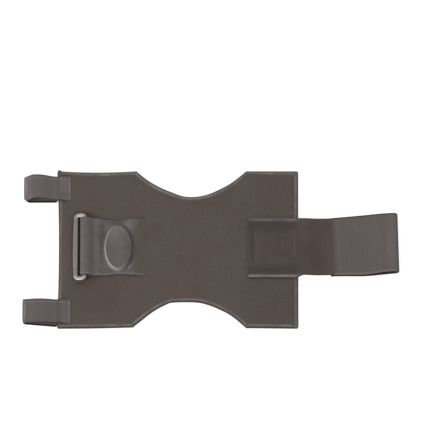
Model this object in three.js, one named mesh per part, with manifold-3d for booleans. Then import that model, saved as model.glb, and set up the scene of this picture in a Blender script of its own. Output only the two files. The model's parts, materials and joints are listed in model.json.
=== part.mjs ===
// Knee support laid out flat: a bound neoprene panel with a narrowed waist, with two pull loops, a
// webbing tab and a steel ring on its left wing, and a strap with a doubled elastic end on its right wing.
import * as THREE from "three";
import { mergeVertices } from "three/addons/utils/BufferGeometryUtils.js";
import Module from "manifold-3d";

// Driving dimensions in millimetres. X runs along the support, Y across it and Z up from the table.
const GAP = 0.3; // between pieces that are sewn together or rest on each other

const PANEL = {
  left: -153.5,
  right: 87.5,
  halfHeight: 83,
  thickness: 4.2,
  cornerRadius: 2.5,
  leftHollow: 1.8, // how far the left edge curves in at its middle
  wingDip: 1.3, // how far the left wing's upper edge curves in
};

// The waist's two cut-outs: places along the panel, and how deep they are from the panel's long edge.
const UPPER_WAIST = [
  { x: -74.4, depth: 0 },
  { x: -63.2, depth: 9.5 },
  { x: -51.2, depth: 16.8 },
  { x: -39.2, depth: 22.2 },
  { x: -27.2, depth: 26.5 },
  { x: -15.2, depth: 27.0 },
  { x: -3.2, depth: 24.5 },
  { x: 8.8, depth: 19.1 },
  { x: 20.8, depth: 12.1 },
  { x: 35.5, depth: 0 },
];
const LOWER_WAIST = [
  { x: -77.7, depth: 1.3 },
  { x: -69.2, depth: 8.4 },
  { x: -57.2, depth: 18.1 },
  { x: -45.2, depth: 25.0 },
  { x: -37.2, depth: 27.5 },
  { x: -15.2, depth: 27.6 },
  { x: -3.2, depth: 25.1 },
  { x: 8.8, depth: 20.1 },
  { x: 20.8, depth: 13.3 },
  { x: 35.4, depth: 0.6 },
];

const BINDING = {
  tape: 0.8, // thickness of the tape
  face: 4, // how far it reaches in over each face of the panel
  rounding: 0.7,
};

const LOOP = {
  width: 25,
  thickness: 1.3,
  sewnEnd: -140, // where the upper layer ends
  lowerEnd: -149.5, // where the lower layer ends
  climb: 6.5, // the stretch beside the panel's edge in which the lower layer comes up from the table
  bend: 8, // how far the upper layer's bends are drawn out
};
const LOOPS = [
  { name: "loop_upper", y: 63.8, fold: -186.8, foldRadius: 3.2, rise: 40, crestX: -174, crest: 13 },
  { name: "loop_lower", y: -65.9, fold: -188, foldRadius: 3, rise: 10, crestX: -171, crest: 8.8 },
];

const RING = {
  band: 4.8, // width of its flattened section
  thickness: 3.6,
  rounding: 1.5,
  length: 71.2, // across the support, outside
  width: 13.3, // along the support, outside
  cornerRadius: 5.5,
  y: 1.3,
  barX: -126.1, // the bar that the tab is folded round
  tilt: 15.1, // degrees, from the bar in the fold down to the bar on the panel
};

const TAB = {
  width: 60,
  thickness: 1.5,
  lowerEnd: -111, // where the lower layer stops, before the pad
  valleyX: -114, // where the upper layer comes down on the lower one
  panelX: -105, // where it comes down to the panel
  sewnEnd: -66,
  pullIn: 0.05, // share by which the pad draws the tab's edges in
  pullInReach: 14,
};

const PAD = {
  x: -92.8,
  y: 0.7,
  halfWidth: 14.1, // of the oval that shows through the tab
  halfLength: 26,
  lift: 3.4, // how far it raises the tab
  plateau: 0.84, // share of the oval that is raised in full
  foot: 1.04, // share at which the slope round it ends
  rimHeight: 0.9, // of the ridge round the raised oval
  rimAt: 0.88, // share of the oval where the ridge runs
  rimWidth: 0.08,
  dish: 0.7, // how far the webbing sinks inside the ridge
  share: 0.8, // of the oval that the pad itself fills under the webbing
};

const STRAP = {
  thickness: 2,
  start: 37.8,
  upperEdge: 32.4,
  sewnLowerEdge: -30.5,
  freeLowerEdge: -27.5,
  narrowsFrom: 84,
  narrowsTo: 93,
  turn: 1.3, // degrees by which the free part swings up
  landsX: 112, // where it has come down from the panel
  end: 141,
};

const STRAP_LOOP = {
  width: 62.4,
  sewnWidth: 60, // drawn in where it is sewn over the strap's end
  spread: 35, // how far from there it takes to reach its full width
  thickness: 1.3,
  x: 121.65,
  y: 2.9,
  length: 65,
  foldRadius: 4,
  flat: 21, // the stretch that is sewn over the strap's end
  turn: 2.6, // degrees
};

// Steps along each curve of an outline or a strip, over the tab, and round the pad and the ring's wire
const OUTLINE_STEPS = 2;
const STRIP_STEPS = 6;
const TAB_STEPS_ALONG = 17;
const TAB_STEPS_ACROSS = 22;
const PAD_STEPS = 28;
const PAD_RIM_STEPS = 3;
const WIRE_STEPS = 3;
const RING_CORNER_STEPS = 2;

const rad = THREE.MathUtils.degToRad;
const smoothstep = THREE.MathUtils.smoothstep;
const wasm = await Module();
wasm.setup();

function namedMesh(name, geometry, color, roughness, metalness = 0) {
  const material = new THREE.MeshStandardMaterial({ color, roughness, metalness });
  const mesh = new THREE.Mesh(geometry, material);
  mesh.name = name;
  return mesh;
}

// A closed geometry as a solid that can be joined and cut
function toSolid(geometry) {
  geometry.deleteAttribute("normal");
  geometry.deleteAttribute("uv");
  const merged = mergeVertices(geometry);
  const mesh = new wasm.Mesh({
    numProp: 3,
    vertProperties: merged.attributes.position.array,
    triVerts: new Uint32Array(merged.index.array),
  });
  return new wasm.Manifold(mesh);
}

function toGeometry(solid) {
  const mesh = solid.getMesh();
  const geometry = new THREE.BufferGeometry();
  geometry.setAttribute("position", new THREE.BufferAttribute(mesh.vertProperties, 3));
  geometry.setIndex(new THREE.BufferAttribute(mesh.triVerts, 1));
  geometry.computeVertexNormals();
  return geometry;
}

// The panel's outer edge, anticlockwise from its lower left corner, with rounded or sharp corners
function panelOutline(rounded) {
  const { left, right, halfHeight: half, leftHollow, wingDip } = PANEL;
  const r = rounded ? PANEL.cornerRadius : 0;
  const lowerCut = LOWER_WAIST.map(({ x, depth }) => new THREE.Vector2(x, depth - half));
  const upperCut = UPPER_WAIST.map(({ x, depth }) => new THREE.Vector2(x, half - depth)).reverse();
  const [lowerStart] = lowerCut;
  const [upperStart] = upperCut;
  const upperEnd = upperCut.at(-1);
  const outline = new THREE.Shape();
  const corner = (x, y, toX, toY) => {
    if (rounded) {
      outline.quadraticCurveTo(x, y, toX, toY);
    }
  };
  outline.moveTo(left + r, -half);
  outline.quadraticCurveTo((left + lowerStart.x) / 2, -half, lowerStart.x, lowerStart.y);
  outline.splineThru(lowerCut.slice(1));
  outline.lineTo(right - r, -half);
  corner(right, -half, right, r - half);
  outline.lineTo(right, half - r);
  corner(right, half, right - r, half);
  outline.lineTo(upperStart.x, upperStart.y);
  outline.splineThru(upperCut.slice(1));
  outline.quadraticCurveTo((left + upperEnd.x) / 2, half - 2 * wingDip, left + r, half);
  corner(left, half, left, half - r);
  outline.quadraticCurveTo(left + 2 * leftHollow, 0, left, r - half);
  corner(left, -half, left + r, -half);
  return outline;
}

// A plate of that outline, drawn in by a margin, with rounded rims
function plate(margin, bottom, top, rounding) {
  const rounded = margin + rounding < PANEL.cornerRadius;
  const geometry = new THREE.ExtrudeGeometry(panelOutline(rounded), {
    depth: top - bottom - 2 * rounding,
    bevelThickness: rounding,
    bevelSize: rounding,
    bevelOffset: -margin - rounding,
    bevelSegments: 1,
    curveSegments: OUTLINE_STEPS,
  });
  return geometry.translate(0, 0, bottom + rounding);
}

// The panel's body, with a thinner tongue all round that the binding is folded over
function makePanel() {
  const { tape, face, rounding } = BINDING;
  const body = toSolid(plate(face + GAP, 0, PANEL.thickness, rounding));
  const tongue = toSolid(plate(tape + GAP, tape + GAP, PANEL.thickness - tape - GAP, GAP));
  return namedMesh("panel", toGeometry(body.add(tongue)), 0x574f4b, 0.9);
}

// The folded tape: a U section that follows the whole edge, flush with the panel's faces
function makeBinding() {
  const { tape, face, rounding } = BINDING;
  const outside = toSolid(plate(0, 0, PANEL.thickness, rounding));
  const past = 1; // how far the cut runs past both faces
  const middle = toSolid(plate(face, -past, PANEL.thickness + past, GAP));
  const groove = toSolid(plate(tape, tape, PANEL.thickness - tape, GAP));
  const tapeSolid = outside.subtract(middle).subtract(groove);
  return namedMesh("edge_binding", toGeometry(tapeSolid), 0x656160, 0.85);
}

// A strip of cloth across the support, from the centre line of its side view in X and Z
function strip(centreLine, thickness, width, stepsAlong = STRIP_STEPS, stepsAcross = 1) {
  const line = centreLine.getPoints(stepsAlong);
  const points = line.filter((point, i) => i === 0 || point.distanceTo(line[i - 1]) > 1e-6);
  const upperSide = [];
  const lowerSide = [];
  points.forEach((point, i) => {
    const before = points[Math.max(i - 1, 0)];
    const after = points[Math.min(i + 1, points.length - 1)];
    const normal = new THREE.Vector2(before.y - after.y, after.x - before.x).setLength(thickness / 2);
    upperSide.push(point.clone().add(normal));
    lowerSide.push(point.clone().sub(normal));
  });
  const side = new THREE.Shape([...upperSide, ...lowerSide.reverse()]);
  const geometry = new THREE.ExtrudeGeometry(side, {
    depth: width,
    steps: stepsAcross,
    bevelEnabled: false,
  });
  return geometry.rotateX(Math.PI / 2).translate(0, width / 2, 0);
}

// Moves each point of a geometry to where the given function puts it
function reshape(geometry, place) {
  const position = geometry.attributes.position;
  for (let i = 0; i < position.count; i++) {
    const { x, y, z } = place(position.getX(i), position.getY(i), position.getZ(i));
    position.setXYZ(i, x, y, z);
  }
  geometry.computeVertexNormals();
  return geometry;
}

// A pull loop: both ends are sewn on the panel, the upper one past the lower, and the eye lies beside it
function makeLoop({ name, y, fold, foldRadius, rise, crestX, crest }) {
  const { width, thickness, sewnEnd, lowerEnd, climb, bend } = LOOP;
  const floor = thickness / 2;
  const lowEnd = PANEL.thickness + GAP + thickness / 2;
  const highEnd = lowEnd + thickness + GAP;
  const edge = PANEL.left + 1;
  const centreX = fold + thickness / 2 + foldRadius;
  const leaves = Math.PI / 2 + rad(rise);
  const leaveX = centreX + foldRadius * Math.cos(leaves);
  const leaveZ = floor + foldRadius + foldRadius * Math.sin(leaves);
  const run = (crestX - leaveX) / 2;
  const line = new THREE.Path();
  line.moveTo(lowerEnd, lowEnd);
  line.lineTo(edge, lowEnd);
  line.bezierCurveTo(edge - climb / 2, lowEnd, edge - climb / 2, floor, edge - climb, floor);
  line.lineTo(centreX, floor);
  line.absarc(centreX, floor + foldRadius, foldRadius, -Math.PI / 2, leaves, true);
  line.bezierCurveTo(leaveX + run, leaveZ + run * Math.tan(rad(rise)), crestX - run, crest, crestX, crest);
  line.bezierCurveTo(crestX + bend, crest, edge - bend, highEnd, edge, highEnd);
  const drop = (sewnEnd - lowerEnd) / 2;
  line.lineTo(lowerEnd, highEnd);
  line.bezierCurveTo(lowerEnd + drop, highEnd, sewnEnd - drop, lowEnd, sewnEnd, lowEnd);
  const loop = namedMesh(name, strip(line, thickness, width), 0x665f61, 0.8);
  loop.position.y = y;
  return loop;
}

// The fold leaves room for the ring's bar to turn in it. Its centre line's radius and the bar's height:
const flatHalf = new THREE.Vector2(RING.band / 2, RING.thickness / 2).subScalar(RING.rounding);
const barReach = flatHalf.length() + RING.rounding;
const foldRadius = barReach + GAP + TAB.thickness / 2;
const tabLowZ = PANEL.thickness + GAP + TAB.thickness / 2;
const barZ = tabLowZ + foldRadius;

// The ring turns about its right bar, in the tab's fold, and its left bar lies on the panel
function makeRing() {
  const { band, thickness, rounding, length, width, cornerRadius, y, barX, tilt } = RING;
  const outside = roundedRectangle(width, length, cornerRadius);
  outside.holes.push(roundedRectangle(width - 2 * band, length - 2 * band, cornerRadius - band));
  const geometry = new THREE.ExtrudeGeometry(outside, {
    depth: thickness - 2 * rounding,
    bevelThickness: rounding,
    bevelSize: rounding,
    bevelOffset: -rounding,
    bevelSegments: WIRE_STEPS,
    curveSegments: RING_CORNER_STEPS,
  });
  geometry.translate((band - width) / 2, 0, rounding - thickness / 2);
  const ring = namedMesh("ring", geometry, 0xa09896, 0.35, 0.9);
  ring.position.set(barX, y, barZ);
  ring.rotation.y = -rad(tilt);
  return ring;
}

function roundedRectangle(width, height, radius) {
  const x = width / 2 - radius;
  const y = height / 2 - radius;
  const quarter = Math.PI / 2;
  const rectangle = new THREE.Shape();
  rectangle.absarc(x, y, radius, 0, quarter);
  rectangle.absarc(-x, y, radius, quarter, 2 * quarter);
  rectangle.absarc(-x, -y, radius, 2 * quarter, 3 * quarter);
  rectangle.absarc(x, -y, radius, 3 * quarter, 4 * quarter);
  return rectangle;
}

// How far the pad raises the tab: a shallow dish inside the oval, a ridge round it, nothing outside
function padLift(x, y) {
  const distance = Math.hypot((x - PAD.x) / PAD.halfWidth, (y - PAD.y) / PAD.halfLength);
  const plateau = 1 - smoothstep(distance, PAD.plateau, PAD.foot);
  const ridge = Math.exp(-(((distance - PAD.rimAt) / PAD.rimWidth) ** 2));
  const dish = 1 - smoothstep(distance, 0, PAD.rimAt);
  return PAD.lift * plateau + PAD.rimHeight * ridge - PAD.dish * dish;
}

// The tab: folded round the ring's bar, its upper layer drawn over the pad down to the panel
function makeTab() {
  const { width, thickness, lowerEnd, valleyX, panelX, sewnEnd, pullIn, pullInReach } = TAB;
  const topZ = barZ + foldRadius;
  const valleyZ = tabLowZ + thickness + GAP;
  const slope = (valleyX - RING.barX) / 2;
  const drop = (panelX - valleyX) / 2;
  const padStart = PAD.x - PAD.halfWidth * (PAD.foot + PAD.rimWidth);
  const line = new THREE.Path();
  line.moveTo(lowerEnd, tabLowZ);
  line.lineTo(RING.barX, tabLowZ);
  line.absarc(RING.barX, barZ, foldRadius, -Math.PI / 2, Math.PI / 2, true);
  line.bezierCurveTo(RING.barX + slope, topZ, valleyX - slope, valleyZ, valleyX, valleyZ);
  line.bezierCurveTo(valleyX + drop, valleyZ, panelX - drop, tabLowZ, panelX, tabLowZ);
  for (let i = 1; i <= TAB_STEPS_ALONG; i++) {
    line.lineTo(THREE.MathUtils.lerp(panelX, sewnEnd, i / TAB_STEPS_ALONG), tabLowZ);
  }
  const geometry = strip(line, thickness, width, STRIP_STEPS, TAB_STEPS_ACROSS);
  reshape(geometry, (x, y, z) => {
    const drawnIn = 1 - pullIn * Math.exp(-(((x - PAD.x) / pullInReach) ** 2));
    const acrossY = RING.y + y * drawnIn;
    return { x, y: acrossY, z: z + (x > padStart ? padLift(x, acrossY) : 0) };
  });
  return namedMesh("ring_tab", geometry, 0x5f5655, 0.85);
}

// The oval pad that lies on the panel under the tab
function makePad() {
  const height = PAD.lift - PAD.dish - GAP;
  const rounding = 2; // radius of its upper rim
  const inner = 1 - rounding / (PAD.halfWidth * PAD.share);
  const profile = new THREE.Path();
  profile.moveTo(0, 0);
  profile.lineTo(1, 0);
  profile.lineTo(1, height - rounding);
  profile.quadraticCurveTo(1, height, inner, height);
  profile.lineTo(0, height);
  const geometry = new THREE.LatheGeometry(profile.getPoints(PAD_RIM_STEPS), PAD_STEPS);
  geometry.rotateX(Math.PI / 2).scale(PAD.halfWidth * PAD.share, PAD.halfLength * PAD.share, 1);
  const pad = namedMesh("pressure_pad", geometry, 0x33302e, 0.9);
  pad.position.set(PAD.x, PAD.y, PANEL.thickness + GAP);
  return pad;
}

// The strap's lower and upper edge at a place along the support
function strapEdges(x) {
  const swing = Math.max(x - PANEL.right, 0) * Math.tan(rad(STRAP.turn));
  const narrowed = smoothstep(x, STRAP.narrowsFrom, STRAP.narrowsTo);
  const lower = THREE.MathUtils.lerp(STRAP.sewnLowerEdge, STRAP.freeLowerEdge, narrowed);
  return { lower: lower + swing, upper: STRAP.upperEdge + swing };
}

// The strap: sewn flat on the right wing, then down over its edge into the doubled end
function makeStrap() {
  const { thickness, start, narrowsFrom, landsX, end } = STRAP;
  const sewnZ = PANEL.thickness + GAP + thickness / 2;
  const landedZ = STRAP_LOOP.thickness + GAP + thickness / 2;
  const leavesX = PANEL.right + 1;
  const reach = (landsX - leavesX) / 2;
  const line = new THREE.Path();
  line.moveTo(start, sewnZ);
  line.lineTo(narrowsFrom, sewnZ);
  line.lineTo(leavesX, sewnZ);
  line.bezierCurveTo(leavesX + reach, sewnZ, landsX - reach, landedZ, landsX, landedZ);
  line.lineTo(end, landedZ);
  const geometry = strip(line, thickness, 1);
  reshape(geometry, (x, y, z) => {
    const { lower, upper } = strapEdges(x);
    return { x, y: THREE.MathUtils.lerp(lower, upper, y + 0.5), z };
  });
  return namedMesh("strap", geometry, 0x524745, 0.95);
}

// The elastic end: one strip folded double, its two ends above and below the strap's end
function makeStrapLoop() {
  const { width, sewnWidth, spread, thickness, x, y, length, foldRadius: radius, flat, turn } = STRAP_LOOP;
  const lowZ = thickness / 2;
  const highZ = thickness + STRAP.thickness + 2 * GAP + thickness / 2;
  const centreX = length - thickness / 2 - radius;
  const reach = (centreX - flat) / 2;
  const topZ = lowZ + 2 * radius;
  const line = new THREE.Path();
  line.moveTo(0, highZ);
  line.lineTo(flat, highZ);
  line.bezierCurveTo(flat + reach, highZ, centreX - reach, topZ, centreX, topZ);
  line.absarc(centreX, lowZ + radius, radius, Math.PI / 2, -Math.PI / 2, true);
  line.lineTo(0, lowZ);
  const geometry = strip(line, thickness, width);
  reshape(geometry, (alongX, acrossY, z) => {
    const drawnIn = 1 - smoothstep(alongX, 0, spread);
    return { x: alongX, y: acrossY * THREE.MathUtils.lerp(1, sewnWidth / width, drawnIn), z };
  });
  const loop = namedMesh("strap_loop", geometry, 0x615957, 0.85);
  loop.position.set(x, y, 0);
  loop.rotation.z = rad(turn);
  return loop;
}

const support = new THREE.Group();
support.add(makePanel(), makeBinding());
support.add(...LOOPS.map(makeLoop));
support.add(makeRing(), makeTab(), makePad());
support.add(makeStrap(), makeStrapLoop());

// The origin is below the middle of the whole support, on the table
const box = new THREE.Box3().setFromObject(support, true);
const middle = box.getCenter(new THREE.Vector3());
support.position.set(-middle.x, -middle.y, -box.min.z);

export default support;
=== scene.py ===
# A knee support laid out flat on a pale table: its pieces in the order in which they are put together.
import json
import math

import bpy
import numpy as np
from mathutils.geometry import delaunay_2d_cdt
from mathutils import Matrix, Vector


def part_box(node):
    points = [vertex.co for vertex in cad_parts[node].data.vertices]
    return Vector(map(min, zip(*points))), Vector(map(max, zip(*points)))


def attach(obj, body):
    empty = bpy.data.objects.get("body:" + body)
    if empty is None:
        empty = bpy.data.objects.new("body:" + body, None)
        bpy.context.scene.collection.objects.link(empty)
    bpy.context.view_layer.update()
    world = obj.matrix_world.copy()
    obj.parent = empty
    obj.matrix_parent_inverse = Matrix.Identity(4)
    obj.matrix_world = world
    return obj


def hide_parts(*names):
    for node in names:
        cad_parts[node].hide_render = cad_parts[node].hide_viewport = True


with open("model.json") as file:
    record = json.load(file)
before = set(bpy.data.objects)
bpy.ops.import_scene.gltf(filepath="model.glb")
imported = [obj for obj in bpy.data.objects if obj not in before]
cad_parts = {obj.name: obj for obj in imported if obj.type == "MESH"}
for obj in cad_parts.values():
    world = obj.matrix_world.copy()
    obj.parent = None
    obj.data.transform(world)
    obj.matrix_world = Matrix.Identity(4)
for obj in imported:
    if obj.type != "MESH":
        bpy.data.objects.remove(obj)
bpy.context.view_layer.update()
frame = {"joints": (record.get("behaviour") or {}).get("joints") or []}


# Neoprene panel. Closed-cell foam 4 mm thick with a knit face glued on both sides, die-cut to an
# hourglass: two wings and a narrowed waist. Its rim is pinched thin where the binding is sewn on.
MM = 0.001
edge_low, edge_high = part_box("edge_binding")
PANEL_LEFT = edge_low.x
PANEL_RIGHT = edge_high.x
PANEL_HALF = edge_high.y
PANEL_TOP = edge_high.z
CORNER_RADIUS = 2.5 * MM
LEFT_HOLLOW = 1.8 * MM  # how far the left edge curves in at its middle
WING_DIP = 1.3 * MM  # how far the left wing's upper edge curves in

# The waist's two cut-outs: places along the panel and depths from its long edge, in millimetres
UPPER_WAIST = [(-74.4, 0), (-63.2, 9.5), (-51.2, 16.8), (-39.2, 22.2), (-27.2, 26.5), (-15.2, 27),
               (-3.2, 24.5), (8.8, 19.1), (20.8, 12.1), (35.5, 0)]
LOWER_WAIST = [(-77.7, 1.3), (-69.2, 8.4), (-57.2, 18.1), (-45.2, 25), (-37.2, 27.5), (-15.2, 27.6),
               (-3.2, 25.1), (8.8, 20.1), (20.8, 13.3), (35.4, 0.6)]

OUTLINE_STEP = 0.8 * MM
RIM_INSET = 1.2 * MM  # where the foam ends inside the binding
RIM_PINCH = 0.6 * MM  # how much the sewing presses each face down at the rim
PINCH_EASES = (3.4 * MM, 7.4 * MM)  # how far in the pinch starts to ease off and where it ends
RIM_RINGS = np.array([2.4, 3.4, 3.9, 4.4, 5, 5.7, 6.5, 7.4, 9]) * MM  # insets of the net along the rim
FACE_GRID = 2.4 * MM
FACE_SWELL = 0.07 * MM  # slow waves of the laid-out sheet
SWELL_LENGTH = 27 * MM
CRISP_EDGE = math.radians(60)  # an edge that bends more than this isn't shaded smooth

# Where the knit is painted darker: painted shade towards the lower side of each wing, a darker patch over
# the upper left of the ring and tab, and painted shadow along the ring's left bar and beside its two ends.
# Middle and half sizes in millimetres, colour and share. The other pieces' patches have the same columns.
PANEL_PATCHES = [
    (-118, -48, 45, 40, "#3E302C", 0.22),
    (62, -58, 45, 40, "#3E302C", 0.2),
    (-132, 24, 26, 26, "#432F2F", 0.16),
    (-138, 1.3, 2.2, 38, "#241C1A", 0.4),
    (-130.5, 38.8, 9, 2, "#241C1A", 0.4),
    (-130.5, -36.5, 9, 2, "#241C1A", 0.35),
]


def bezier(*controls, steps=24):
    """Points along a Bezier curve of any degree, without the first one."""
    t = np.linspace(0, 1, steps + 1)[1:, None]
    level = [np.array(point, float) for point in controls]
    while len(level) > 1:
        level = [a + (b - a) * t for a, b in zip(level, level[1:])]
    return level[0]


def smooth_through(points):
    """A smooth curve through the points, without the first one."""
    spots = np.array([points[0], *points, points[-1]], float)
    stretches = []
    for before, start, end, after in zip(spots, spots[1:], spots[2:], spots[3:]):
        leave = (end - before) / 6
        arrive = (after - start) / 6
        stretches.append(bezier(start, start + leave, end - arrive, end, steps=12))
    return np.vstack(stretches)


def distances(points):
    """How far along a line of points each one is."""
    steps = np.linalg.norm(np.diff(points, axis=0), axis=1)
    return np.concatenate([[0], np.cumsum(steps)])


def sampled(points, reach, wanted):
    """A line at wanted distances along it, where reach says how far along it each of its points is."""
    return np.column_stack([np.interp(wanted, reach, column) for column in points.T])


def evenly(points, step):
    """The same line with its points spaced evenly, about a step apart."""
    reach = distances(points)
    count = max(2, round(reach[-1] / step))
    return sampled(points, reach, np.linspace(0, reach[-1], count + 1))


def left_of(run):
    """The direction to the left of each step of a line in a plane, of length 1."""
    left = np.column_stack([-run[:, 1], run[:, 0]])
    return left / np.linalg.norm(left, axis=1, keepdims=True)


def ramp(value, start, end):
    """0 before the start, 1 after the end and smooth between them."""
    t = np.clip((value - start) / (end - start), 0, 1)
    return t * t * (3 - 2 * t)


def panel_outline():
    """The panel's edge, anticlockwise from its lower left corner."""
    left, right, half, r = PANEL_LEFT, PANEL_RIGHT, PANEL_HALF, CORNER_RADIUS
    lower = [(x * MM, depth * MM - half) for x, depth in LOWER_WAIST]
    upper = [(x * MM, half - depth * MM) for x, depth in reversed(UPPER_WAIST)]
    lower_wing = ((left + lower[0][0]) / 2, -half)
    upper_wing = ((left + upper[-1][0]) / 2, half - 2 * WING_DIP)
    stretches = [
        [(left + r, -half)],
        bezier((left + r, -half), lower_wing, lower[0]),
        smooth_through(lower),
        [(right - r, -half)],
        bezier((right - r, -half), (right, -half), (right, r - half), steps=8),
        [(right, half - r)],
        bezier((right, half - r), (right, half), (right - r, half), steps=8),
        [upper[0]],
        smooth_through(upper),
        bezier(upper[-1], upper_wing, (left + r, half)),
        bezier((left + r, half), (left, half), (left, half - r), steps=8),
        bezier((left, half - r), (left + 2 * LEFT_HOLLOW, 0), (left, r - half)),
        bezier((left, r - half), (left, -half), (left + r, -half), steps=8),
    ]
    return evenly(np.vstack(stretches), OUTLINE_STEP)[:-1]


outline = panel_outline()
outline_next = np.roll(outline, -1, axis=0)
inward = left_of(outline_next - np.roll(outline, 1, axis=0))


def inset_of(points):
    """How far each point is inside the panel's edge, below 0 outside it."""
    along = outline_next - outline
    found = []
    # In batches of at most 2000, because each one is measured against the whole outline
    for spot in np.array_split(points, len(points) // 2000 + 1):
        away = spot[:, None] - outline
        t = np.clip((away * along).sum(2) / (along ** 2).sum(1), 0, 1)
        nearest = np.linalg.norm(away - t[..., None] * along, axis=2).min(1)
        y = spot[:, None, 1]
        crossed = (outline[:, 1] > y) != (outline_next[:, 1] > y)
        rise = np.where(crossed, along[:, 1], 1)
        crossing_x = outline[:, 0] + (y - outline[:, 1]) * along[:, 0] / rise
        inside = (crossed & (spot[:, None, 0] < crossing_x)).sum(1) % 2 == 1
        found.append(np.where(inside, nearest, -nearest))
    return np.concatenate(found)


def make_piece(name, points, faces, material, corner_uv=None):
    """A smooth-shaded mesh object, with a UV pair in metres for each corner of its faces."""
    mesh = bpy.data.meshes.new(name)
    mesh.from_pydata(np.asarray(points).tolist(), [], faces)
    if corner_uv is not None:
        layer = mesh.uv_layers.new(name="cloth")
        layer.data.foreach_set("uv", np.asarray(corner_uv, np.float32).ravel())
    mesh.shade_smooth()
    mesh.set_sharp_from_angle(angle=CRISP_EDGE)
    mesh.materials.append(material)
    piece = bpy.data.objects.new(name, mesh)
    bpy.context.scene.collection.objects.link(piece)
    return piece


def to_linear(hex_colour):
    """An sRGB hex colour as linear RGBA."""
    shares = [int(hex_colour[i:i + 2], 16) / 255 for i in (1, 3, 5)]
    return [s / 12.92 if s <= 0.04045 else ((s + 0.055) / 1.055) ** 2.4 for s in shares] + [1]


def add_node(tree, kind, inputs=None, output=None, **settings):
    """Adds a node with its settings. Each input gets a value, a hex colour or the output that feeds it, by
    its name or number: in MapRange 0 is the value, 1 and 2 the range it is in and 3 and 4 the range it is
    taken to, and in Mix 0 is the share of the second colour and 6 and 7 are the colours. Returns the
    output that is named, or else the first that the node uses."""
    node = tree.nodes.new("ShaderNode" + kind)
    for name, value in settings.items():
        setattr(node, name, value)
    for socket, given in (inputs or {}).items():
        if isinstance(given, bpy.types.NodeSocket):
            tree.links.new(given, node.inputs[socket])
        else:
            node.inputs[socket].default_value = to_linear(given) if isinstance(given, str) else given
    if output:
        return node.outputs[output]
    return next(socket for socket in node.outputs if socket.enabled)


def start_material(name, **values):
    """A material with the values that are the same all over, and its node tree."""
    material = bpy.data.materials.new(name)
    material.use_nodes = True
    shader = material.node_tree.nodes["Principled BSDF"]
    for socket, value in values.items():
        shader.inputs[socket.replace("_", " ")].default_value = value
    return material, material.node_tree


def feed_shader(material, **outputs):
    """Links outputs to inputs of a material's shader and returns the finished material."""
    tree = material.node_tree
    shader = tree.nodes["Principled BSDF"]
    for socket, output in outputs.items():
        tree.links.new(output, shader.inputs[socket.replace("_", " ")])
    return material


def from_oval(tree, x, y, half_x, half_y):
    """Places on the support from the middle of an oval, scaled so that its edge is at a distance of 1."""
    place = add_node(tree, "TexCoord", output="Object")
    away = add_node(tree, "VectorMath", {0: place, 1: (x, y, 0)}, operation="SUBTRACT")
    return add_node(tree, "VectorMath", {0: away, 1: (1 / half_x, 1 / half_y, 0)}, operation="MULTIPLY")


def layered(tree, colour, *layers):
    """Lays tints over a colour, one after another, each by its own share."""
    for share, tint in layers:
        colour = add_node(tree, "Mix", {0: share, 6: colour, 7: tint}, data_type="RGBA")
    return colour


def patched(tree, colour, patches):
    """Lays soft oval patches over a colour. Each has its middle and half sizes on the support, in
    millimetres, its own colour and its share in the middle."""
    for x, y, half_x, half_y, tint, share in patches:
        oval = from_oval(tree, x * MM, y * MM, half_x * MM, half_y * MM)
        reach = add_node(tree, "VectorMath", {0: oval}, operation="LENGTH")
        cover = add_node(tree, "MapRange", {0: reach, 1: 0.3, 2: 1, 3: share, 4: 0},
                         interpolation_type="SMOOTHSTEP")
        colour = layered(tree, colour, (cover, tint))
    return colour


def knit_on_neoprene():
    """Jersey knit glued on foam, dyed black and faded to brown: matt, even, with a faint soft bloom."""
    material, tree = start_material(
        "knit_on_neoprene", Roughness=0.88, IOR=1.45, Sheen_Weight=0.08, Sheen_Roughness=0.6)
    place = add_node(tree, "TexCoord", output="Object")
    fading = add_node(tree, "TexNoise", {"Vector": place, "Scale": 1 / (22 * MM), "Detail": 4})
    patchy = add_node(tree, "MapRange", {0: fading, 1: 0.3, 2: 0.7})
    faded = add_node(tree, "Mix", {0: patchy, 6: "#524540", 7: "#544B48"}, data_type="RGBA")
    # The patches lay painted shade on the lower wings and painted shadow round the ring
    toned = patched(tree, faded, PANEL_PATCHES)
    speck = add_node(tree, "TexNoise", {"Vector": place, "Scale": 1 / (1.8 * MM), "Detail": 2})
    lint = add_node(tree, "MapRange", {0: speck, 1: 0.3, 2: 0.7, 3: 0.9, 4: 1.1})
    colour = add_node(tree, "VectorMath", {0: toned, 1: lint}, operation="MULTIPLY")
    # Columns of V-shaped stitches, 0.9 mm on the real cloth and drawn 1.3 mm wide to show
    wale = 1.3 * MM
    course = 1.1 * MM
    steepness = 1.2
    x = add_node(tree, "SeparateXYZ", {0: place}, output="X")
    y = add_node(tree, "SeparateXYZ", {0: place}, output="Y")
    leg = add_node(tree, "Math", {0: x, 1: wale / 2}, operation="PINGPONG")
    slant = add_node(tree, "Math", {0: leg, 1: steepness, 2: y}, operation="MULTIPLY_ADD")
    turns = add_node(tree, "Math", {0: slant, 1: 2 * math.pi / course}, operation="MULTIPLY")
    stitches = add_node(tree, "Math", {0: turns}, operation="SINE")
    bump = add_node(tree, "Bump", {"Height": stitches, "Strength": 0.35, "Distance": 0.08 * MM})
    return feed_shader(material, Base_Color=colour, Normal=bump)


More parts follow.
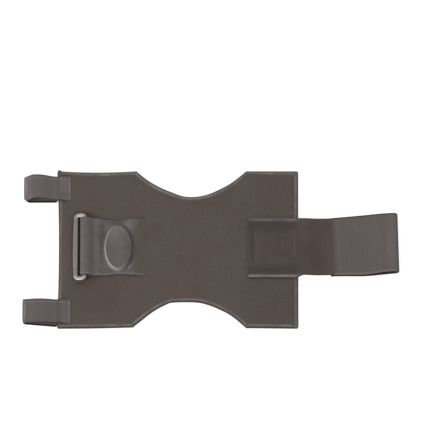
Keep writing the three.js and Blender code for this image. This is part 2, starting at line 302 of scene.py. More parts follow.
def make_panel():
    """Both faces from one net of triangles, finer along the pinched rim."""
    rim = outline + inward * RIM_INSET
    net = [rim]
    for inset in RIM_RINGS:
        inner = outline[::2] + inward[::2] * inset
        net.append(inner[inset_of(inner) > inset - 0.1 * MM])
    x, y = np.meshgrid(np.arange(PANEL_LEFT, PANEL_RIGHT, FACE_GRID),
                       np.arange(-PANEL_HALF, PANEL_HALF, FACE_GRID))
    grid = np.column_stack([x.ravel(), y.ravel()])
    net.append(grid[inset_of(grid) > RIM_RINGS[-1] + FACE_GRID / 2])
    rim_edges = [(i, (i + 1) % len(rim)) for i in range(len(rim))]
    spots, _, triangles, sources, _, _ = delaunay_2d_cdt(
        np.vstack(net).tolist(), rim_edges, [], 1, 1e-7)
    flat = np.array([tuple(spot) for spot in spots])
    place_of = {source: i for i, group in enumerate(sources) for source in group}
    rim_loop = [place_of[i] for i in range(len(rim))]
    pinch = RIM_PINCH * (1 - ramp(inset_of(flat), *PINCH_EASES))
    waves = np.sin(flat[:, 0] / SWELL_LENGTH) * np.sin(flat[:, 1] / SWELL_LENGTH + 1)
    sink = pinch + FACE_SWELL * (1 + waves)
    upper = np.column_stack([flat, PANEL_TOP - sink])
    lower = np.column_stack([flat, pinch])
    count = len(flat)
    faces = [list(t) for t in triangles]
    faces += [[count + i for i in reversed(t)] for t in triangles]
    for i, j in zip(rim_loop, rim_loop[1:] + rim_loop[:1]):
        faces.append([i, count + i, count + j, j])
    return make_piece("neoprene_panel", np.vstack([upper, lower]), faces, knit_on_neoprene())


panel = make_panel()
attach(panel, "support")
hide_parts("panel")


# Edge binding. A knit tape folded over the panel's cut edge all the way round, mitred at the corners
# and sewn through with one row of lockstitch near its inner edge, which draws it into the foam.
TAPE_FACE = 4.1 * MM  # how far the tape reaches in over each face
TAPE_DRIFT = 0.3 * MM  # how far its inner edge strays as it is sewn
DRIFT_LENGTH = 11 * MM
STITCH_INSET = 3.4 * MM
SEAM_TOP = PANEL_TOP - 0.42 * MM  # how high the tape lies under the stitches of each face
SEAM_UNDERSIDE = 0.46 * MM
LAP_PLACE = np.array([PANEL_LEFT + 2 * MM, PANEL_HALF])  # the corner where the tape's two ends lap
LAP_REACH = 1.6 * MM
LAP_SWELL = 1.4 * MM
# Painted shade along the tape on the right edge, and a darker spot at the corner where the tape's ends lap
TAPE_PATCHES = [
    (86.5, 0, 8, 110, "#4A423F", 0.4),
    (-150, 82, 4, 4, "#2C2624", 0.4),
]

# Half of the tape's section, from its inner edge to the outermost line: share of its reach over the
# face, and height in millimetres above the middle of the panel. The lower half mirrors it.
TAPE_OUTSIDE = [(1, 1.3), (0.98, 1.48), (0.92, 1.58), (0.82, 1.72), (0.72, 1.91), (0.62, 2.05),
                (0.53, 2.1), (0.44, 2.07), (0.35, 1.99), (0.25, 1.83), (0.15, 1.55), (0.06, 1.15),
                (0.01, 0.65), (0, 0)]
TAPE_INSIDE = [(0.2, 0), (0.21, 0.7), (0.3, 1.1), (0.5, 1.25), (0.75, 1.1), (0.94, 1.1)]

# The whole section, down its inside and back up its outside, and how far round it the outermost line is
TAPE_SECTION = np.array(TAPE_OUTSIDE + [(share, -height) for share, height in TAPE_OUTSIDE[-2::-1]]
                        + [(share, -height) for share, height in TAPE_INSIDE[::-1]]
                        + TAPE_INSIDE[1:])[::-1]
TAPE_ROUND = TAPE_SECTION * [TAPE_FACE, MM]
TAPE_LINE = distances(TAPE_ROUND)[-len(TAPE_OUTSIDE)]


def bell(value, middle, half_width):
    """1 at the middle, falling off smoothly to both sides."""
    return np.exp(-((value - middle) / half_width) ** 2)


def lattice(rows, joined):
    """Points and faces of rows of points, each row closed on itself, with the ends joined or capped."""
    count, width = rows.shape[:2]
    i = np.arange(count if joined else count - 1)[:, None]
    j = np.arange(width)[None]
    ahead = (i + 1) % count
    beside = (j + 1) % width
    corners = [i * width + j, ahead * width + j, ahead * width + beside, i * width + beside]
    faces = np.stack(np.broadcast_arrays(*corners), axis=2).reshape(-1, 4).tolist()
    if not joined:
        first = list(range(width))
        last = [(count - 1) * width + k for k in reversed(first)]
        faces += [first, last]
    return rows.reshape(-1, 3), faces


def lattice_uv(along, across, joined):
    """A UV pair for each face corner of a lattice, from places along it and round its rows."""
    corners = [(along[:-1], across[:-1]), (along[1:], across[:-1]),
               (along[1:], across[1:]), (along[:-1], across[1:])]
    grids = [np.stack(np.meshgrid(u, v, indexing="ij"), axis=2) for u, v in corners]
    uv = np.stack(grids, axis=2).reshape(-1, 2)
    if not joined:
        first = np.column_stack([np.full(len(across) - 1, along[0]), across[:-1]])
        last = np.column_stack([np.full(len(across) - 1, along[-1]), across[-2::-1]])
        uv = np.vstack([uv, first, last])
    return uv


def wave_scale(spacing):
    """The wave texture's scale for waves a spacing apart: at scale 1 a wave is 2 pi / 20 long."""
    return 2 * math.pi / (20 * spacing)


def knit_tape():
    """Brushed tricot tape: finely ribbed along its length, rubbed pale on its ridge, with painted shade on
    its sides.
    """
    material, tree = start_material(
        "knit_tape", Roughness=0.82, IOR=1.45, Sheen_Weight=0.2, Sheen_Roughness=0.5)
    cloth = add_node(tree, "TexCoord", output="UV")
    place = add_node(tree, "TexCoord", output="Object")
    wear = add_node(tree, "TexNoise", {"Vector": place, "Scale": 1 / (9 * MM), "Detail": 4})
    wear_and_highlight = add_node(tree, "MapRange", {0: wear, 1: 0.4, 2: 0.68})
    pale = add_node(tree, "Mix", {0: wear_and_highlight, 6: "#625A58", 7: "#776F6C"}, data_type="RGBA")
    # Across the tape: from its inner edge it pales to the ridge, then painted shade darkens it to the
    # outermost line
    around = add_node(tree, "SeparateXYZ", {0: cloth}, output="Y")
    from_line = add_node(tree, "Math", {0: around, 1: TAPE_LINE}, operation="SUBTRACT")
    inset = add_node(tree, "Math", {0: from_line}, operation="ABSOLUTE")
    painted_shade = add_node(tree, "MapRange", {0: inset, 1: 1.9 * MM, 2: 3 * MM})
    side_shaded = add_node(tree, "Mix", {0: painted_shade, 6: "#2C2624", 7: "#554C48"}, data_type="RGBA")
    outer = add_node(tree, "MapRange", {0: inset, 1: 1.9 * MM, 2: 3.2 * MM})
    inner = add_node(tree, "MapRange", {0: inset, 1: 6 * MM, 2: 4.9 * MM})
    ridge = add_node(tree, "Math", {0: outer, 1: inner}, operation="MULTIPLY")
    ridged = add_node(tree, "Mix", {0: ridge, 6: side_shaded, 7: pale}, data_type="RGBA")
    colour = patched(tree, ridged, TAPE_PATCHES)
    # Ribs 0.5 mm apart on the real tape, drawn 0.8 mm apart to show
    ribs = add_node(tree, "TexWave", {"Vector": cloth, "Scale": wave_scale(0.8 * MM), "Distortion": 0.4},
                    output="Fac", bands_direction="Y")
    bump = add_node(tree, "Bump", {"Height": ribs, "Strength": 0.4, "Distance": 0.08 * MM})
    return feed_shader(material, Base_Color=colour, Normal=bump)


def tape_reach():
    """How far in the tape goes at each place on the edge: less where it meets itself in a mitre."""
    # It strays in two waves that don't fall into step
    run = np.arange(len(outline)) * OUTLINE_STEP / DRIFT_LENGTH
    wanted = TAPE_FACE + TAPE_DRIFT * (np.sin(run) + np.sin(0.37 * run + 1)) / 2
    reach = np.zeros(len(outline))
    for share in np.linspace(0.05, 1, 20):
        tip = outline + inward * (wanted * share)[:, None]
        free = inset_of(tip) > wanted * share - 0.02 * MM
        reach = np.where(free, np.maximum(reach, wanted * share), reach)
    return reach


def make_binding():
    """The tape's U section swept round the outline, swollen where its ends lap."""
    share, rise = TAPE_SECTION.T
    lap = LAP_SWELL * bell(np.linalg.norm(outline - LAP_PLACE, axis=1), 0, LAP_REACH)
    depth = tape_reach()[:, None] * share - lap[:, None] * (1 - share)
    flat = outline[:, None] + inward[:, None] * depth[..., None]
    height = np.broadcast_to(PANEL_TOP / 2 + rise * MM, depth.shape)
    points, faces = lattice(np.concatenate([flat, height[..., None]], axis=2), joined=True)
    along = np.arange(len(outline) + 1) * OUTLINE_STEP
    around = distances(np.vstack([TAPE_ROUND, TAPE_ROUND[:1]]))
    return make_piece("edge_binding_tape", points, faces, knit_tape(),
                      lattice_uv(along, around, joined=True))


def polyester_thread(name, pale, dark):
    """Twisted polyester thread: a soft shine on each strand, with its plies as fine slanting lines."""
    material, tree = start_material(
        name, Roughness=0.55, IOR=1.5, Sheen_Weight=0.1, Sheen_Roughness=0.4)
    place = add_node(tree, "TexCoord", output="Object")
    # Plies 0.25 mm apart on the real thread, drawn 0.4 mm apart to show
    plies = add_node(tree, "TexWave", {"Vector": place, "Scale": wave_scale(0.4 * MM), "Distortion": 0.6},
                     output="Fac", bands_direction="DIAGONAL")
    age = add_node(tree, "TexNoise", {"Vector": place, "Scale": 1 / (4 * MM), "Detail": 2})
    toned = add_node(tree, "MapRange", {0: age, 1: 0.4, 2: 0.62, 3: -0.1, 4: 0.9})
    shade = add_node(tree, "Math", {0: plies, 1: 0.25, 2: toned}, operation="MULTIPLY_ADD", use_clamp=True)
    colour = add_node(tree, "Mix", {0: shade, 6: dark, 7: pale}, data_type="RGBA")
    bump = add_node(tree, "Bump", {"Height": plies, "Strength": 0.5, "Distance": 0.05 * MM})
    return feed_shader(material, Base_Color=colour, Normal=bump)


def sewing_run(flat, height, facing=1):
    """A run of sewing: a line on the cloth, from its places and heights, and the cloth's normals there."""
    line = np.column_stack([flat, np.broadcast_to(height, len(flat))])
    return line, np.tile([0, 0, facing], (len(flat), 1))


def sew(name, runs, pitch, stitch, thread, material):
    """Runs of lockstitch as one mesh, from the stitches' spacing, their length and the thread's width. Each
    stitch is a strand that comes out of the cloth, lies on it and goes back in."""
    turn = np.linspace(0, 2 * math.pi, 7)[:-1, None]
    stages = np.linspace(0, 1, 6)
    arch = np.sin(math.pi * stages)
    points = []
    faces = []
    for line, normals in runs:
        reach = distances(line)
        stitches = max(1, int(reach[-1] / pitch))
        length = min(stitch, reach[-1])
        starts = (np.arange(stitches) + 0.5) * reach[-1] / stitches - length / 2
        for start in starts:
            wanted = start + stages * length
            centre = sampled(line, reach, wanted)
            normal = sampled(normals, reach, wanted)
            run = np.gradient(centre, axis=0)
            run /= np.linalg.norm(run, axis=1, keepdims=True)
            side = np.cross(run, normal)
            # Lifted out of the cloth in its middle, and thinner where it goes in
            centre = centre + normal * (thread * (0.75 * arch - 0.45))[:, None]
            radius = (thread / 2 * (0.7 + 0.3 * arch))[:, None, None]
            spoke = side[:, None] * np.cos(turn) + normal[:, None] * np.sin(turn)
            strand, strand_faces = lattice(centre[:, None] + radius * spoke, joined=False)
            faces += [[corner + len(points) * len(strand) for corner in face] for face in strand_faces]
            points.append(strand)
    return make_piece(name, np.vstack(points), faces, material)


binding = make_binding()
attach(binding, "support")
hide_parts("edge_binding")

seam = outline + inward * STITCH_INSET
seam = seam[inset_of(seam) > STITCH_INSET - 0.2 * MM]
seam = np.vstack([seam, seam[:1]])
binding_runs = [sewing_run(seam, SEAM_TOP), sewing_run(seam, SEAM_UNDERSIDE, facing=-1)]
binding_stitches = sew("binding_stitches", binding_runs, pitch=3 * MM, stitch=2.3 * MM, thread=0.4 * MM,
                       material=polyester_thread("binding_thread", "#6A625F", "#4E4643"))
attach(binding_stitches, "support")


# Pull loops. Two strips of 25 mm ribbed elastic webbing, each folded to an eye beside the left edge,
# its two ends laid over each other on a corner of the panel and box-stitched there.
LOOP_WIDTH = 25 * MM
LOOP_THICKNESS = 1.3 * MM
LOOP_SEWN_END = -140 * MM
LOOP_LOWER_END = -149.5 * MM  # where the lower layer stops under the upper one
LOOP_EDGE = PANEL_LEFT + 1 * MM  # where the loop leaves the panel
LOOP_CLIMB = 2.6 * MM  # the stretch beside the panel in which the lower layer comes up from the table
LOOP_BEND = 8 * MM  # how far the upper layer's bends are drawn out
SEWN_GAP = 0.3 * MM  # between cloth layers and under them
LOOP_STEP = 0.8 * MM  # between the rows of its mesh
LOOP_SLIP_ENDS = (LOOP_EDGE - 1.5 * MM, LOOP_EDGE + 0.5 * MM)  # where the layers stop slipping
LOOP_CORNER_LENGTH = 14 * MM  # how much of its fold's near corner is drawn in
LOOP_CORNER_WIDTH = 4 * MM
LOOP_RIB = 1.25 * MM  # rib spacing, 0.8 mm on the real webbing, drawn coarser to show
LOOP_RIB_HEIGHT = 0.04 * MM
LOOP_PLAIN_EDGE = (2 * MM, 4 * MM)  # how far in from a selvedge the ribs start, and reach their height
LOOP_GROOVE_IN = 1.5 * MM  # how far in from a selvedge the groove runs, and the bead beside it
LOOP_BEAD_IN = 2.9 * MM
GROOVE_HALF_WIDTH = 0.5 * MM
BEAD_HALF_WIDTH = 0.8 * MM
UPPER_FACE = 0.99  # the least side that is on a strip's upper face, and on the upper half of its selvedges
UPPER_HALF = 0.2
LOOP_PRESSED = 0.7 * LOOP_THICKNESS  # how much the sewing thins its end
LOOP_SEAM_X = LOOP_SEWN_END - 0.9 * MM
LOOP_SEAM_SLANT = 0.6 * MM
LOOP_SEAM_SIDE = 7 * MM  # length of the row along the near selvedge
LOOP_STITCH_MARGIN = 1.7 * MM

# Each loop's fold, the upper layer's slope there in degrees and its crest, how far the lower layer slips
# sideways at the fold and beside the panel, how deep its grooves are, and how far the near corner of its
# fold is drawn in
LOOPS = [
    {"name": "pull_loop_upper", "node": "loop_upper", "fold_radius": 3.2 * MM, "rise": 40,
     "crest_x": -174 * MM, "crest": 13 * MM, "slip": (-1 * MM, -0.9 * MM), "groove": 0.1 * MM,
     "corner": 3 * MM},
    {"name": "pull_loop_lower", "node": "loop_lower", "fold_radius": 3 * MM, "rise": 10,
     "crest_x": -171 * MM, "crest": 8.8 * MM, "slip": (0.5 * MM, -2.3 * MM), "groove": 0.55 * MM,
     "corner": 0.6 * MM},
]

# Darker patches on the layers, then along each fold painted shade on its outermost line and a painted
# highlight beside it
LOOP_PATCHES = [
    (-185, 66, 16, 24, "#3E3938", 0.24),
    (-145, 56, 9, 5, "#3E3534", 0.4),
    (-165, -66, 64, 44, "#3E3736", 0.25),
    (-144, -66, 14, 16, "#4A3A34", 0.2),
    (-186.7, 64, 1.2, 16, "#1E1A1A", 0.8),
    (-184.5, 64, 1.8, 13, "#9A9394", 0.3),
    (-187.9, -66, 1.2, 16, "#1E1A1A", 0.8),
    (-185.6, -66, 1.8, 13, "#9A9394", 0.3),
]


def arc(centre, radius, start, end, steps=24):
    """Points along an arc between two angles in degrees, without the first one."""
    turn = np.radians(np.linspace(start, end, steps + 1)[1:])
    return np.column_stack([centre[0] + radius * np.cos(turn), centre[1] + radius * np.sin(turn)])


def level_step(start, end):
    """A curve from one level to another that is level at both ends, without its first point."""
    reach = (end[0] - start[0]) / 2
    return bezier(start, (start[0] + reach, start[1]), (end[0] - reach, end[1]), end)


def webbing(name, line, width, thickness, relief, place, material, columns=110):
    """A strip of webbing along a centre line in X and Z, with rounded selvedges. relief gives how far its
    faces stand out, from places along and across it and the side: 1 on the upper face, -1 on the lower
    one and between them on the selvedges. place sets its points on the support."""
    along = distances(line)
    normal = left_of(np.gradient(line, axis=0))
    edge = thickness / 2
    flat = np.linspace(edge - width / 2, width / 2 - edge, columns)
    turn = np.radians([54, 18, -18, -54])
    bulge = width / 2 - edge + edge * np.cos(turn)
    across = np.concatenate([flat, bulge, flat[::-1], -bulge])
    side = np.concatenate([np.ones(columns), np.sin(turn), -np.ones(columns), -np.sin(turn)])
    u = along[:, None]
    stand = side * (edge + relief(u, across, side))
    x = line[:, :1] + normal[:, :1] * stand
    z = line[:, 1:] + normal[:, 1:] * stand
    x, y, z = place(x, np.broadcast_to(across, x.shape), z, u)
    points, faces = lattice(np.stack([x, y, z], axis=2), joined=False)
    uv = lattice_uv(along, np.append(across, across[0]), joined=False)
    return make_piece(name, points, faces, material, uv)


def near_to(tree, value, middle, full, faded, share=1):
    """The share while a value is within the first distance of the middle, fading to 0 at the second."""
    off = add_node(tree, "Math", {0: value, 1: middle}, operation="SUBTRACT")
    away = add_node(tree, "Math", {0: off}, operation="ABSOLUTE")
    return add_node(tree, "MapRange", {0: away, 1: full, 2: faded, 3: share, 4: 0})


def ribbed_elastic():
    """Grey elastic webbing: covered rubber ribs along it, closed by fine crosswise picks, a dull shine."""
    material, tree = start_material(
        "ribbed_elastic", Roughness=0.72, IOR=1.48, Sheen_Weight=0.15, Sheen_Roughness=0.45)
    cloth = add_node(tree, "TexCoord", output="UV")
    along = add_node(tree, "SeparateXYZ", {0: cloth}, output="X")
    across = add_node(tree, "SeparateXYZ", {0: cloth}, output="Y")
    # Picks 0.6 mm apart on the real webbing, drawn 0.9 mm apart to show
    picks = add_node(tree, "TexWave", {"Vector": cloth, "Scale": wave_scale(0.9 * MM), "Distortion": 0.5},
                     output="Fac", bands_direction="X")
    ribs = add_node(tree, "TexWave", {"Vector": cloth, "Scale": wave_scale(LOOP_RIB)},
                    output="Fac", bands_direction="Y")
    weave = add_node(tree, "Math", {0: picks, 1: 0.35, 2: ribs}, operation="MULTIPLY_ADD")
    yarn = add_node(tree, "TexNoise", {"Vector": cloth, "Scale": 1 / (5 * MM), "Detail": 3})
    tone = add_node(tree, "Math", {0: weave, 1: 0.55, 2: yarn}, operation="MULTIPLY_ADD")
    shade = add_node(tree, "MapRange", {0: tone, 1: 0.4, 2: 1.3})
    woven = add_node(tree, "Mix", {0: shade, 6: "#585051", 7: "#675F60"}, data_type="RGBA")
    # Beside the far selvedge a painted highlight on the bead and painted shade in the groove
    bead_highlight = near_to(tree, across, 9.6 * MM, 0, 1.1 * MM, share=0.3)
    groove_shade = near_to(tree, across, 11.1 * MM, 0, 0.9 * MM, share=0.4)
    # Painted shade on the selvedges, reaching further in on the layer that lies on the table, and a little
    # painted shade over all of that layer
    lying = add_node(tree, "MapRange", {0: along, 1: 44 * MM, 2: 36 * MM})
    out = add_node(tree, "Math", {0: across}, operation="ABSOLUTE")
    widened = add_node(tree, "Math", {0: lying, 1: 1.5 * MM, 2: out}, operation="MULTIPLY_ADD")
    edge = LOOP_WIDTH / 2 - LOOP_THICKNESS / 2
    selvedge = add_node(tree, "MapRange", {0: widened, 1: edge, 2: edge + 0.4 * MM})
    painted_shade = add_node(tree, "Math", {0: lying, 1: 0.12}, operation="MULTIPLY")
    dark = add_node(tree, "Math", {0: painted_shade, 1: selvedge}, operation="MAXIMUM")
    # Paler over its sewn end on the panel, and painted shadow in the bend over the panel's edge
    place = add_node(tree, "TexCoord", output="Object")
    x = add_node(tree, "SeparateXYZ", {0: place}, output="X")
    wear_and_highlight = add_node(tree, "MapRange", {0: x, 1: LOOP_LOWER_END, 2: LOOP_SEWN_END - 3 * MM, 4: 0.5})
    bend_shadow = near_to(tree, x, PANEL_LEFT + 1.2 * MM, 0.5 * MM, 2 * MM, share=0.28)
    colour = layered(tree, patched(tree, woven, LOOP_PATCHES), (bead_highlight, "#8A8283"),
                     (groove_shade, "#2B2625"), (dark, "#110E0E"), (wear_and_highlight, "#796F6D"), (bend_shadow, "#2A2524"))
    bump = add_node(tree, "Bump", {"Height": picks, "Strength": 0.3, "Distance": 0.08 * MM})
    return feed_shader(material, Base_Color=colour, Normal=bump)


def loop_line(loop):
    """The webbing's centre line in X and Z: off the panel to the table, round the fold and back, and down
    on the panel past its own lower end."""
    radius = loop["fold_radius"]
    rise = loop["rise"]
    table = LOOP_THICKNESS / 2
    low = PANEL_TOP + SEWN_GAP + LOOP_THICKNESS / 2
    high = low + LOOP_THICKNESS + SEWN_GAP
    centre = (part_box(loop["node"])[0].x + LOOP_THICKNESS / 2 + radius, table + radius)
    fold = arc(centre, radius, -90, -270 + rise)
    crest = (loop["crest_x"], loop["crest"])
    run = (crest[0] - fold[-1][0]) / 2
    leaves = fold[-1] + [run, run * math.tan(math.radians(rise))]
    stretches = [
        [(LOOP_LOWER_END, low), (LOOP_EDGE, low)],
        level_step((LOOP_EDGE, low), (LOOP_EDGE - LOOP_CLIMB, table)),
        [(centre[0], table)],
        fold,
        bezier(fold[-1], leaves, (crest[0] - run, crest[1]), crest),
        bezier(crest, (crest[0] + LOOP_BEND, crest[1]), (LOOP_EDGE - LOOP_BEND, high), (LOOP_EDGE, high)),
        [(LOOP_LOWER_END, high)],
        level_step((LOOP_LOWER_END, high), (LOOP_SEWN_END, low - SEWN_GAP)),
    ]
    return evenly(np.vstack(stretches), LOOP_STEP)


def loop_thinned(past_end):
    """How much thinner a loop is near its sewn end, from how far past that end a place is."""
    return LOOP_PRESSED * ramp(past_end, -5 * MM, -1 * MM)


def row(start, end, surface):
    """A straight run of sewing between two places, with its height from the cloth's surface."""
    flat = evenly(np.array([start, end]), 1 * MM)
    return sewing_run(flat, surface(flat[:, 0], flat[:, 1]))


def make_loop(loop, material):
    """One pull loop of ribbed webbing, and the runs of its sewing. A groove sets off its selvedges, its
    layers slip a little sideways on each other in the eye, and its sewn end is pressed thin."""
    low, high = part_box(loop["node"])
    middle_y = (low.y + high.y) / 2
    line = loop_line(loop)
    length = distances(line)[-1]
    on_panel = line[line[:, 1] > PANEL_TOP]
    upper_layer = on_panel[len(on_panel) // 2:]

    def relief(along, across, side):
        from_edge = LOOP_WIDTH / 2 - np.abs(across)
        ribs = LOOP_RIB_HEIGHT * (np.cos(2 * math.pi * across / LOOP_RIB) - 1)
        groove = loop["groove"] * bell(from_edge, LOOP_GROOVE_IN, GROOVE_HALF_WIDTH)
        bead = 0.5 * loop["groove"] * bell(from_edge, LOOP_BEAD_IN, BEAD_HALF_WIDTH)
        on_face = ribs * ramp(from_edge, *LOOP_PLAIN_EDGE) + bead * (along > length / 2) - groove
        return on_face * (np.abs(side) > UPPER_FACE) - loop_thinned(along - length) * (side > UPPER_HALF)

    def place(x, y, z, along):
        lying = 1 - ramp(z, LOOP_THICKNESS, loop["crest"])
        in_eye = 1 - ramp(x, *LOOP_SLIP_ENDS)
        slip = np.interp(x, [low.x, LOOP_EDGE - LOOP_CLIMB], loop["slip"])
        at_corner = ramp(-y, LOOP_WIDTH / 2 - LOOP_CORNER_WIDTH, LOOP_WIDTH / 2) ** 2
        drawn_in = loop["corner"] * at_corner * (1 - ramp(x, low.x, low.x + LOOP_CORNER_LENGTH))
        return x + drawn_in, y + middle_y + slip * lying * in_eye, z

    def top(x, y):
        middle = np.interp(x, upper_layer[:, 0], upper_layer[:, 1])
        return middle + LOOP_THICKNESS / 2 - loop_thinned(x - LOOP_SEWN_END)

    piece = webbing(loop["name"], line, LOOP_WIDTH, LOOP_THICKNESS, relief, place, material)
    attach(piece, "support")
    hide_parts(loop["node"])
    reach = LOOP_WIDTH / 2 - LOOP_STITCH_MARGIN
    corner = (LOOP_SEAM_X, middle_y - reach)
    return [row(corner, (LOOP_SEAM_X - LOOP_SEAM_SLANT, middle_y + reach), top),
            row(corner, (LOOP_SEAM_X - LOOP_SEAM_SIDE, middle_y - reach), top)]


elastic = ribbed_elastic()
loop_runs = []
for loop in LOOPS:
    loop_runs += make_loop(loop, elastic)
loop_stitches = sew("pull_loop_stitches", loop_runs, pitch=3.6 * MM, stitch=2.2 * MM, thread=0.7 * MM,
                    material=polyester_thread("loop_thread", "#A79A91", "#6E6564"))
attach(loop_stitches, "support")


# Pressure pad. An oval of moulded foam that lies on the panel under the tab; only the shape that it
# gives the webbing shows. Its rim is rounded and its underside is flat.
pad_low, pad_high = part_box("pressure_pad")
PAD_X = (pad_low.x + pad_high.x) / 2
PAD_Y = (pad_low.y + pad_high.y) / 2
PAD_HALF_WIDTH = (pad_high.x - pad_low.x) / 2
PAD_HALF_LENGTH = (pad_high.y - pad_low.y) / 2
PAD_ROUNDING = 2 * MM
PAD_CROWN = 0.25 * MM  # how much its top falls from the middle to the rim
PAD_FOOT = [(1, 0), (0.3, 0.2), (0, 0.8)]  # insets and heights up its lower edge, in millimetres


def moulded_foam():
    """Dark closed-cell foam with a moulded skin: matt, with small open pores."""
    material, tree = start_material("moulded_foam", Roughness=0.93, IOR=1.4)
    place = add_node(tree, "TexCoord", output="Object")
    # Pores 0.5 mm across on real foam, drawn 0.9 mm to show
    pores = add_node(tree, "TexVoronoi", {"Vector": place, "Scale": 1 / (0.9 * MM)}, output="Distance")
    colour = add_node(tree, "Mix", {0: pores, 6: "#262321", 7: "#3A3634"}, data_type="RGBA")
    bump = add_node(tree, "Bump", {"Height": pores, "Strength": 0.5, "Distance": 0.15 * MM})
    return feed_shader(material, Base_Color=colour, Normal=bump)


def make_pad():
    """Oval rings from the underside, up the rounded rim and in over the crowned top."""
    turn = np.linspace(0, 2 * math.pi, 65)[:-1]
    rim_height = pad_high.z - PAD_CROWN - PAD_ROUNDING
    levels = [(inset * MM, pad_low.z + height * MM) for inset, height in PAD_FOOT]
    for a in np.radians(np.linspace(0, 90, 9)):
        levels.append((PAD_ROUNDING * (1 - math.cos(a)), rim_height + PAD_ROUNDING * math.sin(a)))
    for share in (0.75, 0.5, 0.25, 0.08):
        inset = PAD_HALF_WIDTH - (PAD_HALF_WIDTH - PAD_ROUNDING) * share
        levels.append((inset, pad_high.z - PAD_CROWN * share ** 2))
    rows = [
        np.column_stack([
            PAD_X + (PAD_HALF_WIDTH - inset) * np.cos(turn),
            PAD_Y + (PAD_HALF_LENGTH - inset) * np.sin(turn),
            np.full(len(turn), height)])
        for inset, height in levels
    ]
    points, faces = lattice(np.array(rows)[:, ::-1], joined=False)
    return make_piece("foam_pressure_pad", points, faces, moulded_foam())


pad = make_pad()
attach(pad, "support")
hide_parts("pressure_pad")


# Ring. A rectangle of flattened steel with rounded edges, welded and nickel-plated to a satin finish. It
# turns about its right bar in the tab's fold, and its left bar lies on the panel.
RING_BAR = np.array(frame["joints"][0]["pos_m"])
ring_low, ring_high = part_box("ring")
RING_BAND = 4.8 * MM  # width of its section
RING_THICKNESS = 3.6 * MM
RING_ROUNDING = 1.5 * MM
RING_LENGTH = ring_high.y - ring_low.y
RING_WIDTH = 13.3 * MM
RING_CORNER = 5.5 * MM  # outside
RING_STEP = 0.6 * MM
RING_TILT = math.radians(15.1)
RING_LEAN = 0.4 * MM  # how much further out the near end of the free bar lies than its far end
RING_BULGE = 1.0 * MM  # how much broader the free bar is in its middle
RING_ENDS = (29 * MM, 33 * MM)  # from its middle to where the darker bars end and the brighter ends, a painted highlight, start


def satin_nickel():
    """Nickel plate on steel: grey metal with a blurred shine, mottled along the bars, and its ends painted
    brighter as a painted highlight.
    """
    material, tree = start_material("satin_nickel", Metallic=1)
    place = add_node(tree, "TexCoord", output="Object")
    bar_mottle = add_node(tree, "TexNoise", {"Vector": place, "Scale": 1 / (7 * MM), "Detail": 4})
    bars = add_node(tree, "Mix", {0: bar_mottle, 6: "#837B79", 7: "#98908E"}, data_type="RGBA")
    y = add_node(tree, "SeparateXYZ", {0: place}, output="Y")
    # Painted highlight: the ends are lighter than the bars
    on_bars = near_to(tree, y, RING_BAR[1], *RING_ENDS)
    colour = add_node(tree, "Mix", {0: on_bars, 6: "#B5AFAC", 7: bars}, data_type="RGBA")
    marks = add_node(tree, "TexNoise", {"Vector": place, "Scale": 1 / (0.8 * MM), "Detail": 3})
    rough = add_node(tree, "MapRange", {0: marks, 1: 0.3, 2: 0.7, 3: 0.4, 4: 0.6})
    bump = add_node(tree, "Bump", {"Height": marks, "Strength": 0.25, "Distance": 0.06 * MM})
    return feed_shader(material, Base_Color=colour, Roughness=rough, Normal=bump)


def rounded_rectangle(half_x, half_y, radius, steps):
    """A rectangle's edge with its corners rounded, anticlockwise from its upper right corner."""
    corners = enumerate([(1, 1), (-1, 1), (-1, -1), (1, -1)])
    return np.vstack([
        arc((x * (half_x - radius), y * (half_y - radius)), radius, 90 * i, 90 * i + 90, steps)
        for i, (x, y) in corners])


def make_ring():
    """A rounded flat section swept along a rounded rectangle, then tilted to lie on the panel."""
    half_width = (RING_WIDTH - RING_BAND) / 2
    half_length = (RING_LENGTH - RING_BAND) / 2
    corners = rounded_rectangle(half_width, half_length, RING_CORNER - RING_BAND / 2, steps=16)
    path = evenly(np.vstack([corners, corners[:1]]), RING_STEP)[:-1]
    outward = -left_of(np.roll(path, -1, axis=0) - np.roll(path, 1, axis=0))
    section = rounded_rectangle(RING_BAND / 2, RING_THICKNESS / 2, RING_ROUNDING, steps=7)
    flat = path[:, None] + outward[:, None] * section[:, :1]
    height = np.broadcast_to(section[:, 1], flat.shape[:2])
    x = flat[..., 0] - half_width
    across = flat[..., 1] / half_length
    free = -x / (2 * half_width)
    outer = ramp(-x, 2 * half_width - RING_BAND / 2, 2 * half_width + RING_BAND / 2)
    x = x - RING_LEAN * free * (1 - across) / 2 - RING_BULGE * outer * (1 - across ** 2)
    rows = np.stack([
        RING_BAR[0] + x * math.cos(RING_TILT) - height * math.sin(RING_TILT),
        RING_BAR[1] + flat[..., 1],
        RING_BAR[2] + x * math.sin(RING_TILT) + height * math.cos(RING_TILT)], axis=2)
    points, faces = lattice(rows[:, ::-1], joined=True)
    return make_piece("steel_ring", points, faces, satin_nickel())


ring = make_ring()
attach(ring, "ring")
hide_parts("ring")


